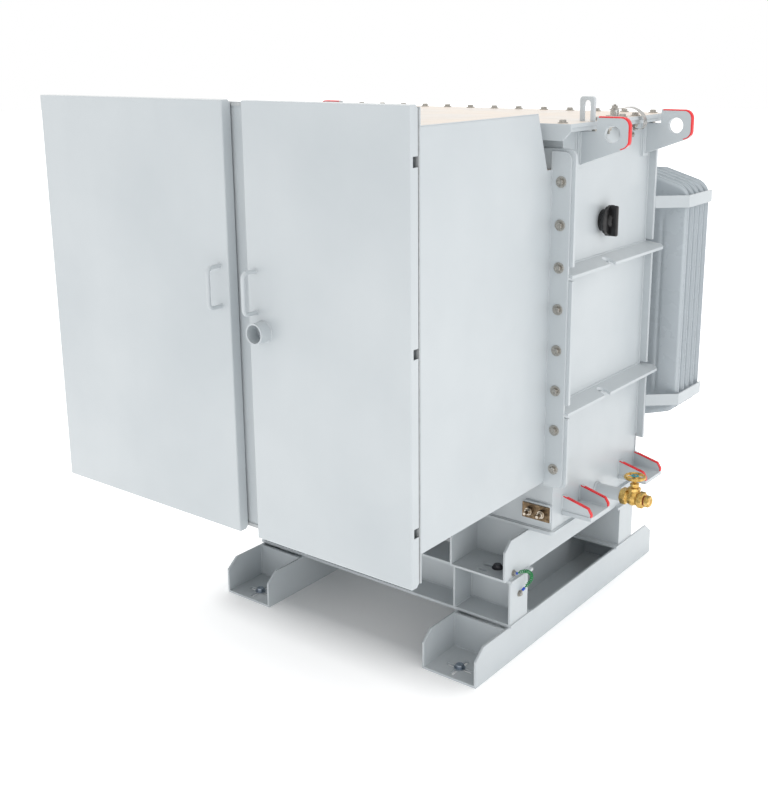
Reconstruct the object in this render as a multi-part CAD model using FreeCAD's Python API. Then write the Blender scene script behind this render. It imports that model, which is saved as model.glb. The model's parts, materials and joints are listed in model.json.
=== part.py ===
"""Oil-filled power transformer on a skid base, with a two-door terminal cabinet.

Frame: millimetres, +Z up, the doors face -Y.  The origin is the centre of the
four floor fixings, on the underside of the skid.
"""
import FreeCAD, Part
import math
import os

V = FreeCAD.Vector

# ---- skid: two U-channels on the floor, open side up ----
SKID_LENGTH = 1204.0
SKID_WIDTH = 200.0
SKID_HEIGHT = 122.0
SKID_WALL = 8.0
SKID_CENTRE_X = 428.0
SKID_CORNER_Y = 43.0
SKID_CORNER_Z = 34.0
ANCHOR_Y = 541.0
ANCHOR_HOLE_D = 18.0
ANCHOR_SLOT_WIDTH = 13.0
ANCHOR_SLOT_REACH = 46.0
ANCHOR_LAND = 4.0

# ---- cross-beams on the skid ----
BEAM_HALF_LENGTH = 536.0
BEAM_DEPTH = 128.0
BEAM_HEIGHT = 159.0
BEAM_FLANGE = 10.0
BEAM_WEB = 8.0
BEAM_POCKET = 96.0
BEAM_FRONT_Y = -416.0
BEAM_REAR_Y = 428.0
BEAM_END_INSET = 5.0

# ---- upper channels between the cross-beams and the tank ----
CHANNEL_WIDTH = 206.0
CHANNEL_HEIGHT = 129.0
CHANNEL_WALL = 8.0
CHANNEL_CENTRE_X = 419.0
CHANNEL_OVERHANG = 20.0
CHANNEL_CORNER_Y = 35.0
CHANNEL_CORNER_Z = 29.0
CLOSURE_THICKNESS = 8.0
SKID_CLOSURE_LEAD = 20.0
CLOSURE_SETBACK = 146.0
SLOT_X = 421.0
SLOT_YS = (-409.0, -374.0)
SLOT_WIDTH = 12.0
SLOT_LENGTH = 34.0

# ---- tank ----
TANK_HALF_WIDTH = 600.0
TANK_FRONT_Y = -292.0
TANK_DEPTH = 565.0
TANK_HEIGHT = 1222.0
BOTTOM_PLATE = 12.0
BOTTOM_LIP = 8.0
RIM_THICKNESS = 12.0
RIM_LIP = 38.0
RIM_FRONT_LIP = 26.0
RIM_REAR_LIP = 21.0
WALL_PLATE = 12.0
FRONT_FIN = 50.0
REAR_FIN = 27.0
FIN_BOTTOM_Z = 574.0
FRONT_PLATE_TOP_Z = 1597.0
REAR_PLATE_TOP_Z = 1630.0
PLATE_CORNER_R = 24.0
LEFT_WING_X = -924.0

# ---- stiffener belts: sloping flat bars round the sides and the back ----
BELT_OUT_SIDE = 50.0
BELT_OUT_REAR = 60.0
BELT_DROP = 19.0
BELT_THICKNESS = 10.0
BELT_UPPER_Z = 1254.0
BELT_LOWER_Z = 836.0
BELT_CORNER = 34.0
BELT_GAP_Y = -48.0
BELT_GAP_WIDTH = 34.0
BELT_GAP_DEPTH = 37.0
BELT_SLOT_MARGIN = 6.0

# ---- lid ----
LID_HALF_WIDTH = 645.0
LID_THICKNESS = 12.0
LID_FRONT_LIP = 38.0
LID_REAR_LIP = 27.0
APRON_DROP = 36.0
APRON_THICKNESS = 8.0
APRON_CORNER = 27.0
EYE_X = 621.0
EYE_Y = -190.0
EYE_WIDTH = 46.0
EYE_HEIGHT = 70.0
EYE_THICKNESS = 12.0
EYE_SLOT_WIDTH = 22.0
EYE_BAR = 10.0
POST_X = 580.0
POST_Y = 60.0
POST_R = 13.0
POST_HEIGHT = 20.0

# ---- lifting lugs on the tank sides ----
LUG_FRONT_Y = -196.0
LUG_REAR_Y = 234.0
LUG_THICKNESS = 16.0
LUG_REACH = 161.0
LUG_TOP_Z = 1683.0
LUG_SHOULDER_X = 658.0
LUG_ROOT_TOP_Z = 1640.0
LUG_ROOT_BOTTOM_Z = 1543.0
LUG_TIP_BOTTOM_Z = 1599.0
LUG_CORNER_R = 27.0
LUG_HOLE_X = 708.0
LUG_HOLE_Z = 1634.0
LUG_HOLE_D = 48.0
DOUBLER_WIDTH = 42.0
DOUBLER_THICKNESS = 8.0
DOUBLER_BOTTOM_Z = 1535.0

# ---- jacking pads on the tank sides ----
PAD_FRONT_Y = -171.0
PAD_REAR_Y = 212.0
PAD_WIDTH = 122.0
PAD_REACH = 102.0
PAD_BOTTOM_Z = 458.0
PAD_PLATE = 12.0
PAD_GUSSET = 10.0
PAD_ROOT_TOP_Z = 523.0
PAD_TIP_TOP_Z = 500.0
PAD_NOSE = 12.0
PAD_NOSE_Z = 482.0
PAD_HOLE_D = 14.0

# ---- radiators: banks of flat panels on pipes out of the rear wall ----
RADIATOR_CENTRE_X = 448.0
PANEL_COUNT = 5
PANEL_PITCH = 40.0
PANEL_FIRST_GAP = 80.0
PANEL_WIDTH = 516.0
PANEL_THICKNESS = 12.0
PANEL_TOP_Z = 1470.0
PANEL_BOTTOM_Z = 617.0
PANEL_SHOULDER = 46.0
PANEL_FLAT = 210.0
PANEL_CORNER_R = 40.0
HEADER_R = 45.0
HEADER_EDGE = 75.0
HEADER_PROUD = 8.0
STRAP_WIDTH = 40.0
STRAP_THICKNESS = 6.0
STRAP_UPPER_Z = 1362.0
STRAP_LOWER_Z = 685.0
STRAP_PROUD = 8.0
STRAP_BEND_LAG = 2.0

# ---- terminal cabinet ----
CAB_LEFT_X = -852.0
CAB_RIGHT_X = 578.0
CAB_SHEET = 3.0
CAB_BOTTOM_Z = 587.0
CAB_TOP_Z = 1698.0
CAB_FRONT_Y = -949.0
CAB_SLOPE_TOP_Y = -393.0
CAB_SLOPE_BOTTOM_Y = -338.0
CAB_LEDGE_Z = 1537.0
CAB_FLANGE = 61.0
CAB_FLANGE_BOTTOM_Z = 576.0
CAB_FLANGE_TOP_Z = 1590.0
CAB_FLANGE_THICKNESS = 8.0
FRAME_BOTTOM_Z = 504.0
FRAME_TOP_Z = 1742.0
FRAME_SIDE = 46.0
FRAME_RAIL = 60.0
FRAME_SILL = 100.0
POST_LEFT_X = -66.0
POST_RIGHT_X = 33.0
BARRIER_X = -16.5
BARRIER_GAP = 1.0

# ---- doors ----
DOOR_FACE_Y = -990.0
DOOR_DEPTH = 35.0
DOOR_SHEET = 3.0
DOOR_BOTTOM_Z = 498.0
DOOR_TOP_Z = 1748.0
LEFT_DOOR_EDGE_X = -53.0
RIGHT_DOOR_EDGE_X = 20.0
DOOR_CORNER = 9.0
HINGE_EDGE_TRIM = 1.5
DOOR_RIB_WIDTH = 60.0
DOOR_RIB_DEPTH = 18.0
HINGE_IN_X = 10.0
HINGE_IN_Y = 13.0
HINGE_PIN_R = 3.0
HINGE_CLEARANCE = 0.1
HINGE_BARREL_R = 5.5
HINGE_BARREL_HEIGHT = 26.0
HINGE_AXIAL_GAP = 0.5
HINGE_TAB = 5.0
HINGE_ARM_REACH = 30.5
HINGE_ARM_DIP = 2.0
HINGE_ARM_TRIM = 6.0
HINGE_NOTCH_MARGIN = 6.0
HINGE_BOTTOM_INSET = 142.0
HINGE_TOP_INSET = 148.0
HANDLE_BAR_R = 6.0
HANDLE_PROJECTION = 48.0
HANDLE_SPAN = 116.0
HANDLE_BEND_R = 16.0
HANDLE_BASE_Z = 1177.0
LEFT_HANDLE_X = -86.0
RIGHT_HANDLE_X = 50.0
GUARD_X = 75.0
GUARD_Z = 1126.0
GUARD_OUTER_R = 30.0
GUARD_WALL = 4.0
GUARD_LENGTH = 40.0

# ---- tap changer on the right wall ----
TAP_Y = -30.0
TAP_Z = 1360.0
TAP_BOSS_R = 34.0
TAP_BOSS_LENGTH = 12.0
TAP_SHAFT_R = 9.95
TAP_CLEARANCE = 0.05
TAP_GAP = 5.0
TAP_DISC_R = 48.0
TAP_DISC_THICKNESS = 11.0
TAP_BAR_LENGTH = 98.0
TAP_BAR_WIDTH = 22.0
TAP_BAR_CORNER_R = 6.6
TAP_BAR_PROUD = 24.0

# ---- drain valve on the right wall ----
DRAIN_Y = 0.0
DRAIN_Z = 469.0
DRAIN_PIPE_R = 21.1
DRAIN_PIPE_LENGTH = 90.0
VALVE_HEX = 56.0
VALVE_HEX_LENGTH = 24.0
VALVE_BODY_R = 26.0
VALVE_LENGTH = 80.0
BONNET_X = 733.0
BONNET_R = 15.0
BONNET_ROOT_R = 21.0
BONNET_TOP = 52.0
STEM_R = 5.0
STEM_CLEARANCE = 0.05
WHEEL_RISE = 72.0
WHEEL_R = 32.0
WHEEL_RIM_R = 5.0
WHEEL_HUB_R = 9.0
WHEEL_SPOKES = 5
WHEEL_SPOKE_R = 3.5
PLUG_HEX = 34.0
PLUG_LENGTH = 20.0

# ---- ground pad on the front wall below the cabinet ----
GROUND_X = 549.0
GROUND_Z = 478.0
GROUND_BLOCK_WIDTH = 97.0
GROUND_BLOCK_HEIGHT = 62.0
GROUND_BLOCK = 10.0
GROUND_PLATE_WIDTH = 97.0
GROUND_PLATE_HEIGHT = 50.0
GROUND_PLATE = 4.0
GROUND_STUD_PITCH = 44.45
GROUND_BOSS_R = 13.0
GROUND_BOSS = 8.0
GROUND_STUD_R = 6.0
GROUND_STUD = 24.0

# ---- bushings on the front plate, inside the cabinet ----
HV_X = (-520.0, -340.0, -160.0)
HV_Z = 1300.0
HV_FLANGE_R = 62.0
HV_FLANGE = 14.0
HV_ROOT_R = 44.0
HV_TIP_R = 26.0
HV_LENGTH = 150.0
LV_X = (100.0, 225.0, 350.0, 475.0)
LV_Z = 1240.0
LV_FLANGE_R = 46.0
LV_FLANGE = 12.0
LV_BODY_R = 30.0
LV_BODY = 60.0
LV_SPADE_LENGTH = 110.0
LV_SPADE_HEIGHT = 76.0
LV_SPADE_THICKNESS = 12.0
LV_SPADE_HOLE_D = 14.0
LV_SPADE_PITCH = 44.0

# ---- earth strap from the lid to the tank ----
EARTH_BOSS_Y = 104.0
EARTH_BOSS_Z = 1611.0
EARTH_BOSS_R = 14.0
EARTH_BOSS_LENGTH = 12.0
EARTH_STRAP_WIDTH = 25.0
EARTH_STRAP_THICKNESS = 3.0
EARTH_STRAP_ARCH = 8.0
EARTH_STRAP_ARCH_IN = 14.0
EARTH_STRAP_EDGE_OUT = 16.0
EARTH_STRAP_FALL_OUT = 14.0
EARTH_STRAP_FALL = 30.0
EARTH_STRAP_LANDING = 10.0
EARTH_STRAP_SHOULDER = 2.0
EARTH_STRAP_SPREAD = 1.0

# ---- bonding jumper between the upper channel and the cross-beam ----
JUMPER_COIL_R = 6.5
JUMPER_UPPER = (534.0, -380.0, 296.0)
JUMPER_ROUTE = (
    (542.0, -366.0, 300.0),
    (552.0, -348.0, 296.0),
    (556.0, -334.0, 282.0),
    (555.0, -330.0, 264.0),
    (549.0, -338.0, 249.0),
)
JUMPER_LOWER = (542.5, -350.0, 238.0)
JUMPER_BEND_SHARE = 0.45
JUMPER_LUG_THICKNESS = 2.5
JUMPER_LUG_R = 11.0
JUMPER_BARREL_R = 5.0
JUMPER_UPPER_BOLT = (-387.0, 297.0)
JUMPER_LOWER_BOLT = (-364.0, 221.0)

# ---- heights and faces worked out from the sizes above ----
BEAM_BOTTOM = SKID_HEIGHT
CHANNEL_BOTTOM = BEAM_BOTTOM + BEAM_HEIGHT
TANK_BOTTOM = CHANNEL_BOTTOM + CHANNEL_HEIGHT
SHELL_BOTTOM = TANK_BOTTOM + BOTTOM_PLATE
SHELL_TOP = SHELL_BOTTOM + TANK_HEIGHT
LID_SEAT = SHELL_TOP + RIM_THICKNESS
LID_TOP = LID_SEAT + LID_THICKNESS
SHELL_REAR = TANK_FRONT_Y + TANK_DEPTH
REAR_FACE = SHELL_REAR + WALL_PLATE
FRONT_FACE = TANK_FRONT_Y - WALL_PLATE
CHANNEL_FRONT = BEAM_FRONT_Y - CHANNEL_OVERHANG
CHANNEL_REAR = BEAM_REAR_Y + CHANNEL_OVERHANG
PANEL_FIRST_Y = REAR_FACE + PANEL_FIRST_GAP
PANEL_LAST_Y = PANEL_FIRST_Y + (PANEL_COUNT - 1) * PANEL_PITCH + PANEL_THICKNESS
CAB_FLANGE_FRONT = FRONT_FACE - CAB_FLANGE_THICKNESS
DOOR_BACK_Y = DOOR_FACE_Y + DOOR_DEPTH
DOOR_MIDDLE_Z = (DOOR_BOTTOM_Z + DOOR_TOP_Z) / 2
HINGE_HEIGHTS = (DOOR_BOTTOM_Z + HINGE_BOTTOM_INSET, DOOR_MIDDLE_Z, DOOR_TOP_Z - HINGE_TOP_INSET)


def box(x0, x1, y0, y1, z0, z1):
    """A block between two corners, given axis by axis."""
    return Part.makeBox(x1 - x0, y1 - y0, z1 - z0, V(x0, y0, z0))


def prism(points, sweep):
    """A flat outline, given as 3-D points in order, extruded by a vector."""
    corners = [V(*point) for point in points]
    return Part.Face(Part.makePolygon(corners + corners[:1])).extrude(V(*sweep))


def prism_along_x(outline, x0, x1):
    """An outline of (y, z) points carried from x0 to x1."""
    return prism([(x0, y, z) for y, z in outline], (x1 - x0, 0, 0))


def prism_along_y(outline, y0, y1):
    """An outline of (x, z) points carried from y0 to y1."""
    return prism([(x, y0, z) for x, z in outline], (0, y1 - y0, 0))


def prism_along_z(outline, z0, z1):
    """An outline of (x, y) points carried from z0 to z1."""
    return prism([(x, y, z0) for x, y in outline], (0, 0, z1 - z0))


def rod(start, end, radius):
    """A round bar between two points."""
    axis = V(*end) - V(*start)
    return Part.makeCylinder(radius, axis.Length, V(*start), axis)


def cone(start, end, r0, r1):
    """A tapered round bar between two points."""
    axis = V(*end) - V(*start)
    return Part.makeCone(r0, r1, axis.Length, V(*start), axis)


def hexagon_bar(start, end, flats):
    """A six-sided bar along X, with the width across flats given."""
    corner_r = flats / math.sqrt(3.0)
    angles = [math.radians(60 * k + 30) for k in range(6)]
    outline = [(start[1] + corner_r * math.cos(a), start[2] + corner_r * math.sin(a)) for a in angles]
    return prism_along_x(outline, start[0], end[0])


def fuse(first, *others):
    """One solid made of pieces that meet."""
    return first.fuse(list(others)).removeSplitter() if others else first


def mirror_x(shape):
    """The same shape on the other side of the centre plane."""
    return shape.mirror(V(0, 0, 0), V(1, 0, 0))


def both_sides(shape):
    """A shape and its mirror image about the centre plane."""
    return [shape, mirror_x(shape)]


def round_edges(shape, radius, axis, keep):
    """Round the straight edges along one axis whose middle point passes the test."""
    chosen = []
    for edge in shape.Edges:
        if len(edge.Vertexes) != 2:
            continue
        run = edge.Vertexes[1].Point - edge.Vertexes[0].Point
        if run.Length < 1e-6 or abs(run.dot(axis)) / run.Length < 0.999:
            continue
        if keep(edge.CenterOfMass):
            chosen.append(edge)
    return shape.makeFillet(radius, chosen)


def save(name, *solids):
    """Write one node: its solids don't touch one another."""
    shape = solids[0] if len(solids) == 1 else Part.makeCompound(list(solids))
    shape.exportStep(os.path.join("parts", name + ".step"))


# ---------------------------------------------------------------- base
def chamfered_wall(x0, x1, y0, y1, z0, z1, corner_y, corner_z):
    """A channel's side wall with both top corners cut off at a slant."""
    outline = [(y0, z0), (y1, z0), (y1, z1 - corner_z), (y1 - corner_y, z1),
               (y0 + corner_y, z1), (y0, z1 - corner_z)]
    return prism_along_x(outline, x0, x1)


def u_channel(x0, x1, y0, y1, z0, z1, wall, corner_y, corner_z):
    """A channel along Y, open side up."""
    floor = box(x0, x1, y0, y1, z0, z0 + wall)
    left = chamfered_wall(x0, x0 + wall, y0, y1, z0, z1, corner_y, corner_z)
    right = chamfered_wall(x1 - wall, x1, y0, y1, z0, z1, corner_y, corner_z)
    return fuse(floor, left, right)


def anchor_cuts(x, y):
    """A round fixing hole with four slots round it, set as a cross, through the skid floor."""
    start = ANCHOR_HOLE_D / 2 + ANCHOR_LAND
    half = ANCHOR_SLOT_WIDTH / 2
    depth = SKID_WALL + 2
    arm = box(x + start, x + ANCHOR_SLOT_REACH, y - half, y + half, -1, depth)
    cuts = [rod((x, y, -1), (x, y, depth), ANCHOR_HOLE_D / 2)]
    for turn in (0, 90, 180, 270):
        slot = arm.copy()
        slot.rotate(V(x, y, 0), V(0, 0, 1), turn)
        cuts.append(slot)
    return cuts


def skid():
    """The right-hand skid channel."""
    x0 = SKID_CENTRE_X - SKID_WIDTH / 2
    x1 = SKID_CENTRE_X + SKID_WIDTH / 2
    reach = SKID_LENGTH / 2
    shape = u_channel(x0, x1, -reach, reach, 0, SKID_HEIGHT, SKID_WALL, SKID_CORNER_Y, SKID_CORNER_Z)
    for y in (-ANCHOR_Y, ANCHOR_Y):
        shape = shape.cut(anchor_cuts(SKID_CENTRE_X, y))
    return shape


def cross_beam(open_y, facing):
    """A welded beam along X; its pocket opens towards open_y, facing is -1 or +1."""
    inner_y = open_y - facing * BEAM_DEPTH
    web_y = open_y - facing * BEAM_POCKET
    top = BEAM_BOTTOM + BEAM_HEIGHT
    y0, y1 = sorted((open_y, inner_y))
    pieces = [
        box(-BEAM_HALF_LENGTH, BEAM_HALF_LENGTH, y0, y1, BEAM_BOTTOM, BEAM_BOTTOM + BEAM_FLANGE),
        box(-BEAM_HALF_LENGTH, BEAM_HALF_LENGTH, y0, y1, top - BEAM_FLANGE, top),
    ]
    web = sorted((web_y, web_y - facing * BEAM_WEB))
    end_x = BEAM_HALF_LENGTH - BEAM_END_INSET
    low = BEAM_BOTTOM + BEAM_FLANGE
    high = top - BEAM_FLANGE
    pieces.append(box(-end_x, end_x, web[0], web[1], low, high))
    pocket = sorted((open_y, web_y))
    inner = CHANNEL_CENTRE_X - CHANNEL_WIDTH / 2
    for x in (inner, end_x - BEAM_WEB):
        for plate in both_sides(box(x, x + BEAM_WEB, pocket[0], pocket[1], low, high)):
            pieces.append(plate)
    return fuse(pieces[0], *pieces[1:])


def long_slot(x, y, z):
    """A slot with round ends along X, through the channel floor."""
    half = (SLOT_LENGTH - SLOT_WIDTH) / 2
    radius = SLOT_WIDTH / 2
    top = z + CHANNEL_WALL + 1
    middle = box(x - half, x + half, y - radius, y + radius, z - 1, top)
    ends = [rod((x + s * half, y, z - 1), (x + s * half, y, top), radius) for s in (-1, 1)]
    return fuse(middle, *ends)


def upper_channel():
    """The right-hand channel that carries the tank."""
    x0 = CHANNEL_CENTRE_X - CHANNEL_WIDTH / 2
    x1 = CHANNEL_CENTRE_X + CHANNEL_WIDTH / 2
    shape = u_channel(x0, x1, CHANNEL_FRONT, CHANNEL_REAR, CHANNEL_BOTTOM, TANK_BOTTOM,
                      CHANNEL_WALL, CHANNEL_CORNER_Y, CHANNEL_CORNER_Z)
    for y in SLOT_YS:
        shape = shape.cut(long_slot(SLOT_X, y, CHANNEL_BOTTOM))
    return shape


def closure_plates():
    """Plates that close the skid and the upper channels, set back from their ends."""
    plates = []
    x0 = SKID_CENTRE_X - SKID_WIDTH / 2 + SKID_WALL
    x1 = SKID_CENTRE_X + SKID_WIDTH / 2 - SKID_WALL
    front = BEAM_FRONT_Y - SKID_CLOSURE_LEAD
    rear = BEAM_REAR_Y + SKID_CLOSURE_LEAD
    for y in (front, rear - CLOSURE_THICKNESS):
        plates += both_sides(box(x0, x1, y, y + CLOSURE_THICKNESS, SKID_WALL, SKID_HEIGHT))
    x0 = CHANNEL_CENTRE_X - CHANNEL_WIDTH / 2 + CHANNEL_WALL
    x1 = CHANNEL_CENTRE_X + CHANNEL_WIDTH / 2 - CHANNEL_WALL
    for y in (CHANNEL_FRONT + CLOSURE_SETBACK, CHANNEL_REAR - CLOSURE_SETBACK - CLOSURE_THICKNESS):
        low = CHANNEL_BOTTOM + CHANNEL_WALL
        plates += both_sides(box(x0, x1, y, y + CLOSURE_THICKNESS, low, TANK_BOTTOM))
    return plates


# ---------------------------------------------------------------- tank
def tank_bottom():
    """The tank's bottom plate, with a small lip all round."""
    half = TANK_HALF_WIDTH + BOTTOM_LIP
    plate = box(-half, half, TANK_FRONT_Y - BOTTOM_LIP, SHELL_REAR + BOTTOM_LIP, TANK_BOTTOM, SHELL_BOTTOM)
    return round_edges(plate, BOTTOM_LIP * 2, V(0, 0, 1), lambda point: True)


def tank_shell():
    """The closed oil tank with the bolting rim that the lid sits on."""
    body = box(-TANK_HALF_WIDTH, TANK_HALF_WIDTH, TANK_FRONT_Y, SHELL_REAR, SHELL_BOTTOM, SHELL_TOP)
    half = TANK_HALF_WIDTH + RIM_LIP
    rim = box(-half, half, TANK_FRONT_Y - RIM_FRONT_LIP, SHELL_REAR + RIM_REAR_LIP, SHELL_TOP, LID_SEAT)
    return fuse(body, rim)


def belt_slots(x0, x1, y0, y1):
    """Room for the belts where they pass a fin of a wall plate."""
    cuts = []
    for top in (BELT_UPPER_Z, BELT_LOWER_Z):
        low = top - BELT_DROP - BELT_THICKNESS - BELT_SLOT_MARGIN
        cuts.append(box(x0, x1, y0 - 1, y1 + 1, low, top + BELT_SLOT_MARGIN))
    return cuts


def tank_front_plate():
    """The front wall's plate, wider than the tank, that the cabinet bolts to."""
    right = TANK_HALF_WIDTH + FRONT_FIN
    plate = box(LEFT_WING_X, right, FRONT_FACE, TANK_FRONT_Y, FIN_BOTTOM_Z, FRONT_PLATE_TOP_Z)
    plate = round_edges(plate, PLATE_CORNER_R, V(0, 1, 0), lambda point: True)
    for cut in belt_slots(TANK_HALF_WIDTH, right + 1, FRONT_FACE, TANK_FRONT_Y):
        plate = plate.cut(cut)
    return plate


def tank_rear_plate():
    """The rear wall's plate, with a narrow fin at each tank corner."""
    half = TANK_HALF_WIDTH + REAR_FIN
    plate = box(-half, half, SHELL_REAR, REAR_FACE, FIN_BOTTOM_Z, REAR_PLATE_TOP_Z)
    for cut in belt_slots(TANK_HALF_WIDTH, half + 1, SHELL_REAR, REAR_FACE):
        plate = plate.cut(cut).cut(mirror_x(cut))
    return plate


def belt_cone(top):
    """A low hipped block: tank outline above, belt outline below."""
    y0 = FRONT_FACE
    inner = [(-TANK_HALF_WIDTH, y0), (TANK_HALF_WIDTH, y0),
             (TANK_HALF_WIDTH, REAR_FACE), (-TANK_HALF_WIDTH, REAR_FACE)]
    half = TANK_HALF_WIDTH + BELT_OUT_SIDE
    rear = REAR_FACE + BELT_OUT_REAR
    outer = [(-half, y0), (half, y0), (half, rear), (-half, rear)]
    wires = []
    for outline, z in ((inner, top), (outer, top - BELT_DROP)):
        corners = [V(x, y, z) for x, y in outline]
        wires.append(Part.makePolygon(corners + corners[:1]))
    return Part.makeLoft(wires, True, True)


def belt_gap(side, top):
    """The round-ended gap in the belt's outer edge, half way along a side."""
    root_x = TANK_HALF_WIDTH + BELT_OUT_SIDE - BELT_GAP_DEPTH
    radius = BELT_GAP_WIDTH / 2
    low = top - BELT_DROP - BELT_THICKNESS - 1
    outer = TANK_HALF_WIDTH + BELT_OUT_SIDE + 1
    slot = box(root_x + radius, outer, BELT_GAP_Y - radius, BELT_GAP_Y + radius, low, top + 1)
    end = rod((root_x + radius, BELT_GAP_Y, low), (root_x + radius, BELT_GAP_Y, top + 1), radius)
    shape = fuse(slot, end)
    return shape if side > 0 else mirror_x(shape)


def stiffener_belt(top):
    """One belt: a sloping bar round the right side, the back and the left side."""
    half = TANK_HALF_WIDTH + BELT_OUT_SIDE
    rear = REAR_FACE + BELT_OUT_REAR
    low = top - BELT_DROP - BELT_THICKNESS
    hip = belt_cone(top)
    under = hip.copy()
    under.translate(V(0, 0, -BELT_THICKNESS))
    skirt = box(-half, half, FRONT_FACE, rear, low, low + BELT_THICKNESS)
    shape = hip.fuse(skirt).cut(under)
    core = box(-TANK_HALF_WIDTH, TANK_HALF_WIDTH, FRONT_FACE - 1, SHELL_REAR, low - 1, top + 1)
    back = box(-TANK_HALF_WIDTH, TANK_HALF_WIDTH, SHELL_REAR - 1, REAR_FACE, low - 1, top + 1)
    shape = shape.cut(core).cut(back)
    left_wing = box(-half - 1, -TANK_HALF_WIDTH, FRONT_FACE - 1, TANK_FRONT_Y, low - 1, top + 1)
    shape = shape.cut(left_wing)
    for side in (-1, 1):
        x = side * half
        corner = [(x, rear), (x - side * BELT_CORNER, rear), (x, rear - BELT_CORNER)]
        shape = shape.cut(prism_along_z(corner, low - 1, top + 1))
        shape = shape.cut(belt_gap(side, top))
    return shape.removeSplitter()


# ---------------------------------------------------------------- lid
def lid():
    """The bolted lid, with its front edge turned down."""
    front = TANK_FRONT_Y - LID_FRONT_LIP
    plate = box(-LID_HALF_WIDTH, LID_HALF_WIDTH, front, SHELL_REAR + LID_REAR_LIP, LID_SEAT, LID_TOP)
    low = LID_SEAT - APRON_DROP
    corner = LID_HALF_WIDTH - APRON_CORNER
    outline = [(-LID_HALF_WIDTH, LID_SEAT), (-LID_HALF_WIDTH, low + APRON_CORNER), (-corner, low),
               (corner, low), (LID_HALF_WIDTH, low + APRON_CORNER), (LID_HALF_WIDTH, LID_SEAT)]
    return fuse(plate, prism_along_y(outline, front, front + APRON_THICKNESS))


def lid_lifting_eye():
    """An upright eye on the lid: a flat plate cut to an inverted U and welded by both legs."""
    x0 = EYE_X - EYE_WIDTH / 2
    x1 = EYE_X + EYE_WIDTH / 2
    y0 = EYE_Y - EYE_THICKNESS / 2
    y1 = EYE_Y + EYE_THICKNESS / 2
    top = LID_TOP + EYE_HEIGHT
    loop = box(x0, x1, y0, y1, LID_TOP, top)
    loop = round_edges(loop, EYE_BAR, V(0, 1, 0), lambda point: point.z > top - 1)
    half = EYE_SLOT_WIDTH / 2
    slot_top = top - EYE_BAR - half
    slot = box(EYE_X - half, EYE_X + half, y0 - 1, y1 + 1, LID_TOP - 1, slot_top)
    arch = rod((EYE_X, y0 - 1, slot_top), (EYE_X, y1 + 1, slot_top), half)
    return loop.cut(slot).cut(arch)


def lid_earth_post():
    """A welded stud post on the lid for the earth strap."""
    return rod((POST_X, POST_Y, LID_TOP), (POST_X, POST_Y, LID_TOP + POST_HEIGHT), POST_R)


def earth_boss():
    """The tank-side boss of the earth strap."""
    x0 = TANK_HALF_WIDTH
    return rod((x0, EARTH_BOSS_Y, EARTH_BOSS_Z), (x0 + EARTH_BOSS_LENGTH, EARTH_BOSS_Y, EARTH_BOSS_Z),
               EARTH_BOSS_R)


def earth_strap():
    """A flat braided strap from the post over the lid's edge to the boss below."""
    post_top = LID_TOP + POST_HEIGHT
    boss_x = TANK_HALF_WIDTH + EARTH_BOSS_LENGTH
    edge_x = LID_HALF_WIDTH
    points = [
        V(POST_X - EARTH_STRAP_WIDTH / 2, 0, post_top),
        V(POST_X + EARTH_STRAP_WIDTH / 2, 0, post_top),
        V(edge_x - EARTH_STRAP_ARCH_IN, 0, post_top + EARTH_STRAP_ARCH),
        V(edge_x + EARTH_STRAP_EDGE_OUT, 0, LID_TOP - EARTH_STRAP_SHOULDER),
        V(edge_x + EARTH_STRAP_FALL_OUT, 0, LID_SEAT - EARTH_STRAP_FALL),
        V(boss_x, 0, EARTH_BOSS_Z + EARTH_BOSS_R + EARTH_STRAP_LANDING),
        V(boss_x, 0, EARTH_BOSS_Z - EARTH_BOSS_R),
    ]
    thick = EARTH_STRAP_THICKNESS
    spread = EARTH_STRAP_SPREAD
    offsets = [V(0, 0, thick), V(0, 0, thick), V(spread, 0, thick), V(thick, 0, spread),
               V(thick, 0, -spread), V(thick, 0, -spread), V(thick, 0, 0)]
    outer = [point + offset for point, offset in zip(points, offsets)]
    outline = [(p.x, p.z) for p in points] + [(p.x, p.z) for p in reversed(outer)]
    half = EARTH_STRAP_WIDTH / 2
    lean = EARTH_BOSS_Y - POST_Y
    base = Part.Face(Part.makePolygon([V(x, POST_Y - half, z) for x, z in outline + outline[:1]]))
    upper = base.extrude(V(0, EARTH_STRAP_WIDTH, 0))
    return shear_y(upper, lean, POST_X + POST_R, edge_x + EARTH_STRAP_FALL_OUT)


def shear_y(shape, lean, x0, x1):
    """Slide a strap sideways in Y so that its far end lands on the boss."""
    matrix = FreeCAD.Matrix()
    share = lean / (x1 - x0)
    matrix.A21 = share
    matrix.A24 = -share * x0
    return shape.transformGeometry(matrix)


# ---------------------------------------------------------------- lugs and pads
def lifting_lug(y):
    """A right-hand lug: a plate with an eye, on a doubler strip."""
    x0 = TANK_HALF_WIDTH + DOUBLER_THICKNESS
    tip = TANK_HALF_WIDTH + LUG_REACH
    y0 = y - LUG_THICKNESS / 2
    outline = [(x0, LUG_ROOT_BOTTOM_Z), (tip, LUG_TIP_BOTTOM_Z), (tip, LUG_TOP_Z),
               (LUG_SHOULDER_X, LUG_TOP_Z), (LUG_SHOULDER_X, LUG_ROOT_TOP_Z), (x0, LUG_ROOT_TOP_Z)]
    plate = prism_along_y(outline, y0, y0 + LUG_THICKNESS)
    plate = round_edges(plate, LUG_CORNER_R, V(0, 1, 0), lambda point: point.x > tip - 1)
    eye = rod((LUG_HOLE_X, y0 - 1, LUG_HOLE_Z), (LUG_HOLE_X, y0 + LUG_THICKNESS + 1, LUG_HOLE_Z),
              LUG_HOLE_D / 2)
    half = DOUBLER_WIDTH / 2
    doubler = box(TANK_HALF_WIDTH, x0, y - half, y + half, DOUBLER_BOTTOM_Z, LUG_ROOT_TOP_Z)
    return fuse(plate.cut(eye), doubler)


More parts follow.
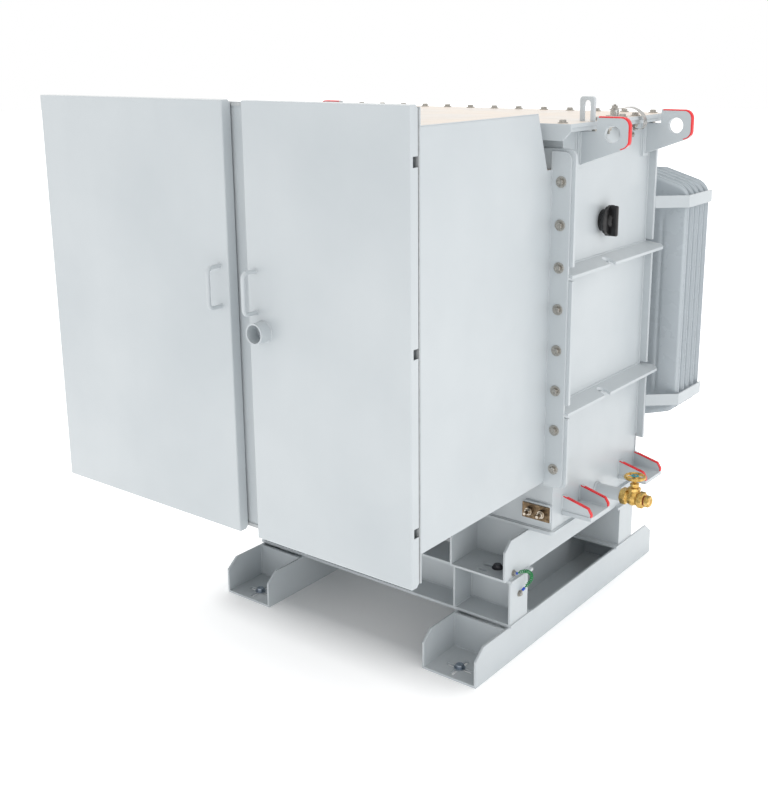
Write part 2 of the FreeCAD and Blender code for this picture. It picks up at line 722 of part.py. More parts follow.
def jacking_pad(y):
    """A right-hand jacking pad: a plate under two sloping gussets."""
    x0 = TANK_HALF_WIDTH
    tip = x0 + PAD_REACH
    y0 = y - PAD_WIDTH / 2
    y1 = y + PAD_WIDTH / 2
    seat = PAD_BOTTOM_Z + PAD_PLATE
    plate = box(x0, tip, y0, y1, PAD_BOTTOM_Z, seat)
    hole_x = x0 + PAD_REACH / 2
    hole = rod((hole_x, y, PAD_BOTTOM_Z - 1), (hole_x, y, seat + 1), PAD_HOLE_D / 2)
    outline = [(x0, seat), (tip, seat), (tip, PAD_NOSE_Z), (tip - PAD_NOSE, PAD_TIP_TOP_Z),
               (x0, PAD_ROOT_TOP_Z)]
    gussets = [prism_along_y(outline, y0, y0 + PAD_GUSSET), prism_along_y(outline, y1 - PAD_GUSSET, y1)]
    return fuse(plate.cut(hole), *gussets)


# ---------------------------------------------------------------- radiators
def radiator_panel(y):
    """One flat panel, higher in the middle, with round outer corners."""
    x0 = RADIATOR_CENTRE_X - PANEL_WIDTH / 2
    x1 = RADIATOR_CENTRE_X + PANEL_WIDTH / 2
    flat0 = RADIATOR_CENTRE_X - PANEL_FLAT / 2
    flat1 = RADIATOR_CENTRE_X + PANEL_FLAT / 2
    low = PANEL_BOTTOM_Z + PANEL_SHOULDER
    high = PANEL_TOP_Z - PANEL_SHOULDER
    outline = [(x0, low), (flat0, PANEL_BOTTOM_Z), (flat1, PANEL_BOTTOM_Z), (x1, low),
               (x1, high), (flat1, PANEL_TOP_Z), (flat0, PANEL_TOP_Z), (x0, high)]
    panel = prism_along_y(outline, y, y + PANEL_THICKNESS)
    return round_edges(panel, PANEL_CORNER_R, V(0, 1, 0),
                       lambda point: point.x < x0 + 1 or point.x > x1 - 1)


def panel_front(index):
    """Where a panel's front face stands, counted from the tank."""
    return PANEL_FIRST_Y + index * PANEL_PITCH


def radiator_panels():
    """The right-hand bank's panels, front to back."""
    return [radiator_panel(panel_front(k)) for k in range(PANEL_COUNT)]


def radiator_headers():
    """The upper and lower header pipes, as the spools between the tank and the panels."""
    starts = [REAR_FACE] + [panel_front(k) + PANEL_THICKNESS for k in range(PANEL_COUNT)]
    ends = [panel_front(k) for k in range(PANEL_COUNT)] + [PANEL_LAST_Y + HEADER_PROUD]
    spools = []
    for z in (PANEL_TOP_Z - HEADER_EDGE, PANEL_BOTTOM_Z + HEADER_EDGE):
        for y0, y1 in zip(starts, ends):
            spools.append(rod((RADIATOR_CENTRE_X, y0, z), (RADIATOR_CENTRE_X, y1, z), HEADER_R))
    return spools


def radiator_strap(z):
    """A bent flat bar from the tank's corner fin along the panels' outer ends."""
    start_x = TANK_HALF_WIDTH + REAR_FIN
    inner_x = RADIATOR_CENTRE_X + PANEL_WIDTH / 2
    outer_x = inner_x + STRAP_THICKNESS
    outer_bend = PANEL_FIRST_Y - STRAP_THICKNESS
    inner_bend = outer_bend + STRAP_BEND_LAG
    slant = STRAP_THICKNESS * math.sqrt(2.0)
    end = PANEL_LAST_Y + STRAP_PROUD
    outline = [(start_x, REAR_FACE), (outer_x, outer_bend), (outer_x, end), (inner_x, end),
               (inner_x, inner_bend), (start_x - slant, REAR_FACE)]
    return prism_along_z(outline, z, z + STRAP_WIDTH)


# ---------------------------------------------------------------- cabinet
def cabinet_side(x_outer, side):
    """A side wall with the outward flange that bolts to the tank's front plate."""
    x_inner = x_outer - side * CAB_SHEET
    x0, x1 = sorted((x_outer, x_inner))
    front = CAB_FRONT_Y + CAB_SHEET
    top = CAB_TOP_Z - CAB_SHEET
    outline = [(front, CAB_BOTTOM_Z), (FRONT_FACE, CAB_BOTTOM_Z), (FRONT_FACE, CAB_LEDGE_Z),
               (CAB_SLOPE_BOTTOM_Y, CAB_LEDGE_Z), (CAB_SLOPE_TOP_Y, top), (front, top)]
    wall = prism_along_x(outline, x0, x1)
    f0, f1 = sorted((x_inner, x_outer + side * CAB_FLANGE))
    flange = box(f0, f1, CAB_FLANGE_FRONT, FRONT_FACE, CAB_FLANGE_BOTTOM_Z, CAB_FLANGE_TOP_Z)
    flange = round_edges(flange, PLATE_CORNER_R, V(0, 1, 0),
                         lambda point: (point.x - x_outer) * side > 1)
    return fuse(wall, flange)


def cabinet_roof():
    """The flat roof with its sloping rear face and the ledge below the lid."""
    sheet = CAB_SHEET
    front = CAB_FRONT_Y + sheet
    top = CAB_TOP_Z
    flat = box(CAB_LEFT_X, CAB_RIGHT_X, front, CAB_SLOPE_TOP_Y, top - sheet, top)
    outline = [(CAB_SLOPE_TOP_Y - sheet, top - sheet), (CAB_SLOPE_TOP_Y, top - sheet),
               (CAB_SLOPE_BOTTOM_Y, CAB_LEDGE_Z), (FRONT_FACE, CAB_LEDGE_Z),
               (FRONT_FACE, CAB_LEDGE_Z - sheet), (CAB_SLOPE_BOTTOM_Y - sheet, CAB_LEDGE_Z - sheet)]
    rear = prism_along_x(outline, CAB_LEFT_X + sheet, CAB_RIGHT_X - sheet)
    return fuse(flat, rear)


def cabinet_front_frame():
    """The flat frame that the doors close against, with a post between them."""
    y0 = CAB_FRONT_Y
    y1 = CAB_FRONT_Y + CAB_SHEET
    x0 = CAB_LEFT_X
    x1 = CAB_RIGHT_X
    pieces = [
        box(x0, x0 + FRAME_SIDE, y0, y1, FRAME_BOTTOM_Z, FRAME_TOP_Z),
        box(x1 - FRAME_SIDE, x1, y0, y1, FRAME_BOTTOM_Z, FRAME_TOP_Z),
        box(x0, x1, y0, y1, FRAME_BOTTOM_Z, FRAME_BOTTOM_Z + FRAME_SILL),
        box(x0, x1, y0, y1, FRAME_TOP_Z - FRAME_RAIL, FRAME_TOP_Z),
        box(POST_LEFT_X, POST_RIGHT_X, y0, y1, FRAME_BOTTOM_Z, FRAME_TOP_Z),
    ]
    return fuse(pieces[0], *pieces[1:])


def compartment_barrier():
    """The sheet that parts the high-voltage side from the low-voltage side."""
    half = CAB_SHEET / 2
    front = CAB_FRONT_Y + CAB_SHEET
    top = CAB_TOP_Z - CAB_SHEET
    inset = CAB_SHEET + BARRIER_GAP
    outline = [(front, CAB_BOTTOM_Z), (FRONT_FACE, CAB_BOTTOM_Z), (FRONT_FACE, CAB_LEDGE_Z - CAB_SHEET),
               (CAB_SLOPE_BOTTOM_Y - inset, CAB_LEDGE_Z - CAB_SHEET),
               (CAB_SLOPE_TOP_Y - inset, top), (front, top)]
    return prism_along_x(outline, BARRIER_X - half, BARRIER_X + half)


# ---------------------------------------------------------------- doors
def door_pan(hinge_x, edge_x):
    """A door: a face sheet with four returned edges and a stiffening rib inside."""
    side = 1 if hinge_x > edge_x else -1
    x0, x1 = sorted((hinge_x, edge_x))
    sheet = DOOR_SHEET
    inner = DOOR_FACE_Y + sheet
    pieces = [box(x0, x1, DOOR_FACE_Y, inner, DOOR_BOTTOM_Z, DOOR_TOP_Z)]
    for z in (DOOR_BOTTOM_Z, DOOR_TOP_Z - sheet):
        pieces.append(box(x0 + DOOR_CORNER, x1 - DOOR_CORNER, inner, DOOR_BACK_Y, z, z + sheet))
        pieces.append(box(x0, x1, inner, DOOR_BACK_Y - DOOR_CORNER, z, z + sheet))
    for x, trim in ((edge_x, 0.0), (hinge_x, HINGE_EDGE_TRIM)):
        inward = -side if x == hinge_x else side
        a, b = sorted((x, x + inward * sheet))
        back = DOOR_BACK_Y - trim
        outline = [(inner, DOOR_BOTTOM_Z), (back - DOOR_CORNER, DOOR_BOTTOM_Z),
                   (back, DOOR_BOTTOM_Z + DOOR_CORNER), (back, DOOR_TOP_Z - DOOR_CORNER),
                   (back - DOOR_CORNER, DOOR_TOP_Z), (inner, DOOR_TOP_Z)]
        pieces.append(prism_along_x(outline, a, b))
    middle = (x0 + x1) / 2
    margin = DOOR_RIB_WIDTH
    rib = box(middle - DOOR_RIB_WIDTH / 2, middle + DOOR_RIB_WIDTH / 2, inner, inner + DOOR_RIB_DEPTH,
              DOOR_BOTTOM_Z + margin, DOOR_TOP_Z - margin)
    pieces.append(rib)
    return fuse(pieces[0], *pieces[1:]).cut(hinge_notches(hinge_x))


def hinge_notches(hinge_x):
    """Cut-outs in the hinge-side return that pass the hinge arms when the door is open."""
    side = 1 if hinge_x > 0 else -1
    a, b = sorted((hinge_x + side, hinge_x - side * (DOOR_SHEET + 1)))
    front = DOOR_FACE_Y + HINGE_IN_Y
    notches = []
    for height in HINGE_HEIGHTS:
        low, high = arm_heights(height)
        notches.append(box(a, b, front, DOOR_BACK_Y + 1, low - HINGE_NOTCH_MARGIN, high + HINGE_NOTCH_MARGIN))
    return notches


def arm_heights(z):
    """The lower and upper face of a hinge arm whose barrel starts at z."""
    return z + HINGE_ARM_TRIM, z + HINGE_BARREL_HEIGHT - HINGE_ARM_TRIM


def hinge_axis(hinge_x):
    """Where a door's hinge pins stand, in plan."""
    side = 1 if hinge_x > 0 else -1
    return hinge_x - side * HINGE_IN_X, DOOR_FACE_Y + HINGE_IN_Y, side


def hinge_bracket(hinge_x, z):
    """A fixed hinge half: a barrel on a swan-neck arm from the front frame."""
    x, y, side = hinge_axis(hinge_x)
    top = z + HINGE_BARREL_HEIGHT
    reach = HINGE_ARM_REACH
    half = HINGE_TAB / 2
    neck = [(x, y - half), (x, y + half), (x - side * (reach - half), y - HINGE_ARM_DIP + half),
            (x - side * (reach + half), y - HINGE_ARM_DIP - half)]
    low, high = arm_heights(z)
    arm = prism_along_z(neck, low, high)
    a, b = sorted((x - side * (reach - half), x - side * (reach + half)))
    leg = box(a, b, y - HINGE_ARM_DIP - half, CAB_FRONT_Y, low, high)
    barrel = rod((x, y, z), (x, y, top), HINGE_BARREL_R)
    bore = rod((x, y, z - 1), (x, y, top + 1), HINGE_PIN_R + HINGE_CLEARANCE)
    return fuse(barrel, arm, leg).cut(bore)


def hinge_knuckle(hinge_x, z):
    """A door's hinge half: a barrel on a tab, with the pin that enters the bracket."""
    x, y, side = hinge_axis(hinge_x)
    low = z + HINGE_BARREL_HEIGHT + HINGE_AXIAL_GAP
    top = low + HINGE_BARREL_HEIGHT
    half = HINGE_TAB / 2
    barrel = rod((x, y, low), (x, y, top), HINGE_BARREL_R)
    tab = box(x - half, x + half, DOOR_FACE_Y + DOOR_SHEET, y, low, top)
    pin = rod((x, y, z - 2), (x, y, low + 1), HINGE_PIN_R)
    return fuse(barrel, tab, pin)


def bent_bar(points, bends, radius):
    """A round bar along straight runs, with the inner points rounded by the radii given."""
    wire = rounded_path(points, bends)
    start = V(*points[0])
    circle = Part.Wire(Part.makeCircle(radius, start, V(*points[1]) - start))
    return wire.makePipeShell([circle], True, True)


def rounded_path(points, bends):
    """A wire of straight runs joined by tangent arcs."""
    corners = [V(*point) for point in points]
    edges = []
    last = corners[0]
    for index in range(1, len(corners) - 1):
        corner = corners[index]
        back = (corners[index - 1] - corner).normalize()
        ahead = (corners[index + 1] - corner).normalize()
        half_turn = (math.pi - back.getAngle(ahead)) / 2
        trim = bends[index - 1] * math.tan(half_turn)
        start = corner + back * trim
        end = corner + ahead * trim
        bisector = (back + ahead).normalize()
        middle = corner + bisector * (bends[index - 1] * (1 / math.cos(half_turn) - 1))
        edges.append(Part.LineSegment(last, start).toShape())
        edges.append(Part.Arc(start, middle, end).toShape())
        last = end
    edges.append(Part.LineSegment(last, corners[-1]).toShape())
    return Part.Wire(edges)


def door_handle(x):
    """A pull made of one round bar bent to a U."""
    y0 = DOOR_FACE_Y
    y1 = DOOR_FACE_Y - HANDLE_PROJECTION
    z0 = HANDLE_BASE_Z
    z1 = HANDLE_BASE_Z + HANDLE_SPAN
    points = [(x, y0, z0), (x, y1, z0), (x, y1, z1), (x, y0, z1)]
    return bent_bar(points, [HANDLE_BEND_R, HANDLE_BEND_R], HANDLE_BAR_R)


def lock_guard():
    """The open tube that shields the door's lock bolt."""
    end = DOOR_FACE_Y - GUARD_LENGTH
    tube = rod((GUARD_X, DOOR_FACE_Y, GUARD_Z), (GUARD_X, end, GUARD_Z), GUARD_OUTER_R)
    bore = rod((GUARD_X, DOOR_FACE_Y + 1, GUARD_Z), (GUARD_X, end - 1, GUARD_Z), GUARD_OUTER_R - GUARD_WALL)
    return tube.cut(bore)


# ---------------------------------------------------------------- fittings on the tank
def tap_changer_boss():
    """The bored boss that the tap changer's shaft comes through."""
    x0 = TANK_HALF_WIDTH
    x1 = x0 + TAP_BOSS_LENGTH
    boss = rod((x0, TAP_Y, TAP_Z), (x1, TAP_Y, TAP_Z), TAP_BOSS_R)
    bore = rod((x0 + 1, TAP_Y, TAP_Z), (x1 + 1, TAP_Y, TAP_Z), TAP_SHAFT_R + TAP_CLEARANCE)
    return boss.cut(bore)


def tap_changer_handle():
    """The round plate and grip bar that turn the tap changer."""
    boss_end = TANK_HALF_WIDTH + TAP_BOSS_LENGTH
    disc0 = boss_end + TAP_GAP
    disc1 = disc0 + TAP_DISC_THICKNESS
    shaft = rod((TANK_HALF_WIDTH + 2, TAP_Y, TAP_Z), (disc0 + 1, TAP_Y, TAP_Z), TAP_SHAFT_R)
    disc = rod((disc0, TAP_Y, TAP_Z), (disc1, TAP_Y, TAP_Z), TAP_DISC_R)
    half = TAP_BAR_WIDTH / 2
    reach = TAP_BAR_LENGTH / 2
    bar = box(disc1 - 1, disc1 + TAP_BAR_PROUD, TAP_Y - half, TAP_Y + half, TAP_Z - reach, TAP_Z + reach)
    bar = round_edges(bar, TAP_BAR_CORNER_R, V(1, 0, 0), lambda point: True)
    return fuse(disc, shaft, bar)


def drain_pipe():
    """The welded nipple that carries the drain valve."""
    x0 = TANK_HALF_WIDTH
    return rod((x0, DRAIN_Y, DRAIN_Z), (x0 + DRAIN_PIPE_LENGTH, DRAIN_Y, DRAIN_Z), DRAIN_PIPE_R)


def drain_valve():
    """The cast valve body with a hexagon at each end and the bored bonnet on top."""
    x0 = TANK_HALF_WIDTH + DRAIN_PIPE_LENGTH
    x1 = x0 + VALVE_LENGTH
    y, z = DRAIN_Y, DRAIN_Z
    inlet = hexagon_bar((x0, y, z), (x0 + VALVE_HEX_LENGTH, y, z), VALVE_HEX)
    body = rod((x0 + VALVE_HEX_LENGTH, y, z), (x1 - VALVE_HEX_LENGTH, y, z), VALVE_BODY_R)
    outlet = hexagon_bar((x1 - VALVE_HEX_LENGTH, y, z), (x1, y, z), VALVE_HEX)
    bonnet = cone((BONNET_X, y, z), (BONNET_X, y, z + BONNET_TOP), BONNET_ROOT_R, BONNET_R)
    bore = rod((BONNET_X, y, z + VALVE_BODY_R), (BONNET_X, y, z + BONNET_TOP + 1), STEM_R + STEM_CLEARANCE)
    return fuse(inlet, body, outlet, bonnet).cut(bore)


def drain_plug():
    """The hexagon plug in the valve's outlet."""
    x0 = TANK_HALF_WIDTH + DRAIN_PIPE_LENGTH + VALVE_LENGTH
    return hexagon_bar((x0, DRAIN_Y, DRAIN_Z), (x0 + PLUG_LENGTH, DRAIN_Y, DRAIN_Z), PLUG_HEX)


def drain_handwheel():
    """The valve's spoked handwheel on its stem."""
    z = DRAIN_Z + WHEEL_RISE
    y = DRAIN_Y
    rim = Part.makeTorus(WHEEL_R, WHEEL_RIM_R, V(BONNET_X, y, z), V(0, 0, 1))
    hub = rod((BONNET_X, y, z - WHEEL_RIM_R), (BONNET_X, y, z + WHEEL_RIM_R + 1), WHEEL_HUB_R)
    stem = rod((BONNET_X, y, DRAIN_Z + VALVE_BODY_R + 2), (BONNET_X, y, z), STEM_R)
    spokes = []
    for k in range(WHEEL_SPOKES):
        angle = 2 * math.pi * k / WHEEL_SPOKES
        tip = (BONNET_X + WHEEL_R * math.cos(angle), y + WHEEL_R * math.sin(angle), z)
        spokes.append(rod((BONNET_X, y, z), tip, WHEEL_SPOKE_R))
    return fuse(hub, stem, rim, *spokes)


def ground_block():
    """The raised block under the ground pad."""
    half_w = GROUND_BLOCK_WIDTH / 2
    half_h = GROUND_BLOCK_HEIGHT / 2
    front = TANK_FRONT_Y - GROUND_BLOCK
    block = box(GROUND_X - half_w, GROUND_X + half_w, front, TANK_FRONT_Y, GROUND_Z - half_h, GROUND_Z + half_h)
    return round_edges(block, GROUND_BLOCK, V(0, 1, 0), lambda point: True)


def ground_terminals():
    """The contact plate with two bosses and their studs."""
    half_w = GROUND_PLATE_WIDTH / 2
    half_h = GROUND_PLATE_HEIGHT / 2
    back = TANK_FRONT_Y - GROUND_BLOCK
    front = back - GROUND_PLATE
    plate = box(GROUND_X - half_w, GROUND_X + half_w, front, back, GROUND_Z - half_h, GROUND_Z + half_h)
    pieces = []
    for x in (GROUND_X - GROUND_STUD_PITCH / 2, GROUND_X + GROUND_STUD_PITCH / 2):
        pieces.append(rod((x, front, GROUND_Z), (x, front - GROUND_BOSS, GROUND_Z), GROUND_BOSS_R))
        tip = front - GROUND_BOSS - GROUND_STUD
        pieces.append(rod((x, front - GROUND_BOSS, GROUND_Z), (x, tip, GROUND_Z), GROUND_STUD_R))
    return fuse(plate, *pieces)


# ---------------------------------------------------------------- bushings
def hv_bushing(x):
    """A high-voltage bushing well on its clamped flange."""
    y0 = FRONT_FACE
    flange = rod((x, y0, HV_Z), (x, y0 - HV_FLANGE, HV_Z), HV_FLANGE_R)
    body = cone((x, y0 - HV_FLANGE, HV_Z), (x, y0 - HV_LENGTH, HV_Z), HV_ROOT_R, HV_TIP_R)
    return fuse(flange, body)


def lv_bushing(x):
    """A low-voltage bushing with a two-hole spade terminal."""
    y0 = FRONT_FACE
    body_end = y0 - LV_FLANGE - LV_BODY
    flange = rod((x, y0, LV_Z), (x, y0 - LV_FLANGE, LV_Z), LV_FLANGE_R)
    body = rod((x, y0 - LV_FLANGE, LV_Z), (x, body_end, LV_Z), LV_BODY_R)
    half_t = LV_SPADE_THICKNESS / 2
    half_h = LV_SPADE_HEIGHT / 2
    tip = body_end - LV_SPADE_LENGTH
    spade = box(x - half_t, x + half_t, tip, body_end, LV_Z - half_h, LV_Z + half_h)
    for k in (0, 1):
        y = tip + LV_SPADE_PITCH * (k + 0.5)
        hole = rod((x - half_t - 1, y, LV_Z), (x + half_t + 1, y, LV_Z), LV_SPADE_HOLE_D / 2)
        spade = spade.cut(hole)
    return fuse(flange, body, spade)


# ---------------------------------------------------------------- bonding jumper
def jumper_points():
    """The curly cord's route from the upper lug's barrel to the lower one's."""
    return [JUMPER_UPPER, *JUMPER_ROUTE, JUMPER_LOWER]


def jumper_bends(points):
    """Each bend's radius, as large as its two runs allow."""
    radii = []
    for before, here, after in zip(points, points[1:], points[2:]):
        run_in = V(*here) - V(*before)
        run_out = V(*after) - V(*here)
        half_turn = run_in.getAngle(run_out) / 2
        shorter = min(run_in.Length, run_out.Length)
        radii.append(JUMPER_BEND_SHARE * shorter / math.tan(half_turn))
    return radii


def bonding_jumper():
    """The fat tube that the curly cord's turns fill."""
    points = jumper_points()
    radii = jumper_bends(points)
    print("bonding jumper radii:", [round(radius, 1) for radius in radii])
    path = rounded_path(points, radii)
    tube = bent_bar(points, radii, JUMPER_COIL_R)
    print("bonding jumper length:", round(path.Length, 1),
          "volume share:", round(tube.Volume / (math.pi * JUMPER_COIL_R ** 2 * path.Length), 4))
    return tube


def crimp_lug(wall_x, bolt, end):
    """A ring lug on a bolt, its barrel pointing at the cord's end."""
    x1 = wall_x + JUMPER_LUG_THICKNESS
    ring = rod((wall_x, bolt[0], bolt[1]), (x1, bolt[0], bolt[1]), JUMPER_LUG_R)
    seat = (x1 - JUMPER_LUG_THICKNESS / 2, bolt[0], bolt[1])
    barrel = rod(seat, end, JUMPER_BARREL_R)
    reach = 2 * JUMPER_LUG_R
    wall_side = box(wall_x - reach, wall_x, bolt[0] - reach, bolt[0] + reach,
                    bolt[1] - reach, bolt[1] + reach)
    return fuse(ring, barrel).cut(wall_side)


def build():
    """Write every node of the transformer."""
    os.makedirs("parts", exist_ok=True)
    right_skid = skid()
    save("skid_right", right_skid)
    save("skid_left", mirror_x(right_skid))
    save("channel_closure_plates", *closure_plates())
    save("cross_beam_front", cross_beam(BEAM_FRONT_Y, -1))
    save("cross_beam_rear", cross_beam(BEAM_REAR_Y, 1))
    channel = upper_channel()
    save("upper_channel_right", channel)
    save("upper_channel_left", mirror_x(channel))

    save("tank_bottom_plate", tank_bottom())
    save("tank_shell", tank_shell())
    save("tank_front_plate", tank_front_plate())
    save("tank_rear_plate", tank_rear_plate())
    save("stiffener_belt_upper", stiffener_belt(BELT_UPPER_Z))
    save("stiffener_belt_lower", stiffener_belt(BELT_LOWER_Z))
    save("lid", lid())
    save("lid_lifting_eye", lid_lifting_eye())
    save("earth_strap_posts", lid_earth_post(), earth_boss())
    save("earth_strap", earth_strap())
    lugs = both_sides(lifting_lug(LUG_FRONT_Y)) + both_sides(lifting_lug(LUG_REAR_Y))
    save("lifting_lugs", *lugs)
    pads = both_sides(jacking_pad(PAD_FRONT_Y)) + both_sides(jacking_pad(PAD_REAR_Y))
    save("jacking_pads", *pads)

    for kind, bank in (("panels", radiator_panels()), ("headers", radiator_headers())):
        save(f"radiator_{kind}_right", *bank)
        save(f"radiator_{kind}_left", *[mirror_x(piece) for piece in bank])
    straps = both_sides(radiator_strap(STRAP_UPPER_Z)) + both_sides(radiator_strap(STRAP_LOWER_Z))
    save("radiator_straps", *straps)

    save("cabinet_side_right", cabinet_side(CAB_RIGHT_X, 1))
    save("cabinet_side_left", cabinet_side(CAB_LEFT_X, -1))
    save("cabinet_roof", cabinet_roof())
    save("cabinet_front_frame", cabinet_front_frame())
    save("compartment_barrier", compartment_barrier())

    save("right_door", door_pan(CAB_RIGHT_X, RIGHT_DOOR_EDGE_X))
    save("left_door", door_pan(CAB_LEFT_X, LEFT_DOOR_EDGE_X))
    brackets = [hinge_bracket(x, z) for x in (CAB_LEFT_X, CAB_RIGHT_X) for z in HINGE_HEIGHTS]
    save("door_hinge_brackets", *brackets)
    save("left_hinge_knuckles", *[hinge_knuckle(CAB_LEFT_X, z) for z in HINGE_HEIGHTS])
    save("right_hinge_knuckles", *[hinge_knuckle(CAB_RIGHT_X, z) for z in HINGE_HEIGHTS])
    save("left_door_handle", door_handle(LEFT_HANDLE_X))
    save("right_door_handle", door_handle(RIGHT_HANDLE_X))
    save("lock_guard", lock_guard())

    save("tap_changer_boss", tap_changer_boss())
    save("tap_changer_handle", tap_changer_handle())
    save("drain_pipe", drain_pipe())
    save("drain_valve", drain_valve())
    save("drain_plug", drain_plug())
    save("drain_handwheel", drain_handwheel())
    save("ground_block", ground_block())
    save("ground_terminals", ground_terminals())
    save("hv_bushings", *[hv_bushing(x) for x in HV_X])
    save("lv_bushings", *[lv_bushing(x) for x in LV_X])

    jumper = bonding_jumper()
    save("bonding_jumper", jumper)
    channel_face = CHANNEL_CENTRE_X + CHANNEL_WIDTH / 2
    beam_face = BEAM_HALF_LENGTH - BEAM_END_INSET
    save("jumper_lugs", crimp_lug(channel_face, JUMPER_UPPER_BOLT, JUMPER_UPPER).cut(jumper),
         crimp_lug(beam_face, JUMPER_LOWER_BOLT, JUMPER_LOWER).cut(jumper))


build()
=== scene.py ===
"""Looks of an oil-filled power transformer: its finishes, fixings, welds, radiators and fittings.

Lengths are metres, +Z is up and the cabinet doors face -Y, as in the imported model.
"""

import itertools
import json
import math

import bmesh
import bpy
import numpy as np
from mathutils import Matrix, Vector


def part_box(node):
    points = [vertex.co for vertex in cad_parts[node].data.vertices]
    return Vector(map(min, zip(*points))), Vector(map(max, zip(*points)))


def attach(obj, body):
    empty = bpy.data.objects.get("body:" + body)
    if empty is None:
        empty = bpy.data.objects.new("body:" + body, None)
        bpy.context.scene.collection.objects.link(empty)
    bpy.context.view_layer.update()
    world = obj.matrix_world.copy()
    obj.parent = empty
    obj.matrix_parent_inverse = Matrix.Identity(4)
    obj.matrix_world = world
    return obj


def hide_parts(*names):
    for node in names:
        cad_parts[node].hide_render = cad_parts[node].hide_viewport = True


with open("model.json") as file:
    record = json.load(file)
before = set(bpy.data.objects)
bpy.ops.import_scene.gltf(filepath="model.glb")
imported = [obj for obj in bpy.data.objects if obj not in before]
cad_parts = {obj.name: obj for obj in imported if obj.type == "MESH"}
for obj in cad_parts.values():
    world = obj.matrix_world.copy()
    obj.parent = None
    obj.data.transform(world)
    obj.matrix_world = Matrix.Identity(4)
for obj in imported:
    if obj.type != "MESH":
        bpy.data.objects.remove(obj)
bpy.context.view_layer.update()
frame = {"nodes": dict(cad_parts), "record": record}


# ---------------------------------------------------------------- viewpoint
# A camera stands to the right of the doors, a little above the lid, turned down
# slightly, with a short telephoto lens as used for product pictures.
camera = bpy.data.objects.new("camera", bpy.data.cameras.new("camera"))
bpy.context.scene.collection.objects.link(camera)
bpy.context.scene.camera = camera
camera.data.lens = 51.73
camera.data.shift_y = -0.07
camera_heading = math.radians(38.07)
camera_dip = math.radians(14.42)
camera_roll = math.radians(-0.60)
camera_turn = (
    Matrix.Rotation(camera_heading, 3, "Z")
    @ Matrix.Rotation(math.pi / 2 - camera_dip, 3, "X")
    @ Matrix.Rotation(camera_roll, 3, "Z")
)
camera.matrix_world = Matrix.Translation((2.192, -3.157, 1.879)) @ camera_turn.to_4x4()


# ---------------------------------------------------------------- bonding jumper
# A short green earth wire wound to a curl, between a bolt on the upper channel
# and a bolt on the cross-beam's end plate.  PVC on copper, crimped in blue lugs.
JUMPER_ROUTE = [
    (0.534, -0.380, 0.296),
    (0.542, -0.366, 0.300),
    (0.552, -0.348, 0.296),
    (0.556, -0.334, 0.282),
    (0.555, -0.330, 0.264),
    (0.549, -0.338, 0.249),
    (0.5425, -0.350, 0.238),
]
JUMPER_WIRE = 0.0030
JUMPER_TURNS = 17
JUMPER_POINTS_PER_TURN = 12
JUMPER_CURL_RADIUS = 0.0048
JUMPER_STRAIGHT_SHARE = 0.10


def nurbs_curve(name, points):
    """A curve of one smooth NURBS spline with the points as its control points."""
    curve = bpy.data.curves.new(name, "CURVE")
    curve.dimensions = "3D"
    curve.resolution_u = 12
    spline = curve.splines.new("NURBS")
    spline.points.add(len(points) - 1)
    for slot, point in zip(spline.points, points):
        slot.co = (*point, 1.0)
    spline.order_u = 3
    spline.use_endpoint_u = True
    piece = bpy.data.objects.new(name, curve)
    bpy.context.scene.collection.objects.link(piece)
    return piece


def route_points(points, count):
    """Points evenly spaced along the smooth route that the control points give."""
    guide = nurbs_curve("guide", points)
    bpy.context.view_layer.update()
    line = bpy.data.meshes.new_from_object(guide)
    along = np.empty(len(line.vertices) * 3)
    line.vertices.foreach_get("co", along)
    along = along.reshape(-1, 3)
    bpy.data.objects.remove(guide)
    run = np.concatenate([[0.0], np.cumsum(np.linalg.norm(np.diff(along, axis=0), axis=1))])
    spaced = np.linspace(0.0, run[-1], count)
    return np.stack([np.interp(spaced, run, along[:, k]) for k in range(3)], axis=1)


def curl_points(centres, turns, radius, straight):
    """A helix round the centres: each point is the centre plus the radius turned
    steadily about the route's direction; the radius fades to nothing at both ends."""
    tangents = np.gradient(centres, axis=0)
    tangents /= np.linalg.norm(tangents, axis=1)[:, None]
    side = np.cross(tangents[0], (0.0, 0.0, 1.0))
    side /= np.linalg.norm(side)
    points = []
    for k, (centre, tangent) in enumerate(zip(centres, tangents)):
        side = side - tangent * side.dot(tangent)
        side /= np.linalg.norm(side)
        up = np.cross(tangent, side)
        share = k / (len(centres) - 1)
        swell = min(1.0, share / straight, (1.0 - share) / straight)
        swell = swell * swell * (3.0 - 2.0 * swell)
        angle = 2.0 * math.pi * turns * share
        points.append(tuple(centre + radius * swell * (side * math.cos(angle) + up * math.sin(angle))))
    return points


jumper_centres = route_points(JUMPER_ROUTE, JUMPER_TURNS * JUMPER_POINTS_PER_TURN)
jumper = nurbs_curve("bonding_jumper_wire", curl_points(
    jumper_centres, JUMPER_TURNS, JUMPER_CURL_RADIUS, JUMPER_STRAIGHT_SHARE))
jumper.data.bevel_depth = JUMPER_WIRE / 2
jumper.data.bevel_resolution = 3
jumper.data.resolution_u = 2


def node(tree, kind, **inputs):
    """A shader node with its input sockets set by name, where an underscore is a space."""
    made = tree.nodes.new(kind)
    for name, value in inputs.items():
        made.inputs[name.replace("_", " ")].default_value = value
    return made


def new_finish(name, base, rough, metal=0.0):
    """An empty finish: its tree, its shader, and the place on the object to read patterns from."""
    material = bpy.data.materials.new(name)
    material.use_nodes = True
    tree = material.node_tree
    shader = tree.nodes["Principled BSDF"]
    shader.inputs["Base Color"].default_value = (*base, 1.0)
    shader.inputs["Roughness"].default_value = rough
    shader.inputs["Metallic"].default_value = metal
    place = tree.nodes.new("ShaderNodeTexCoord").outputs["Object"]
    return material, tree, shader, place


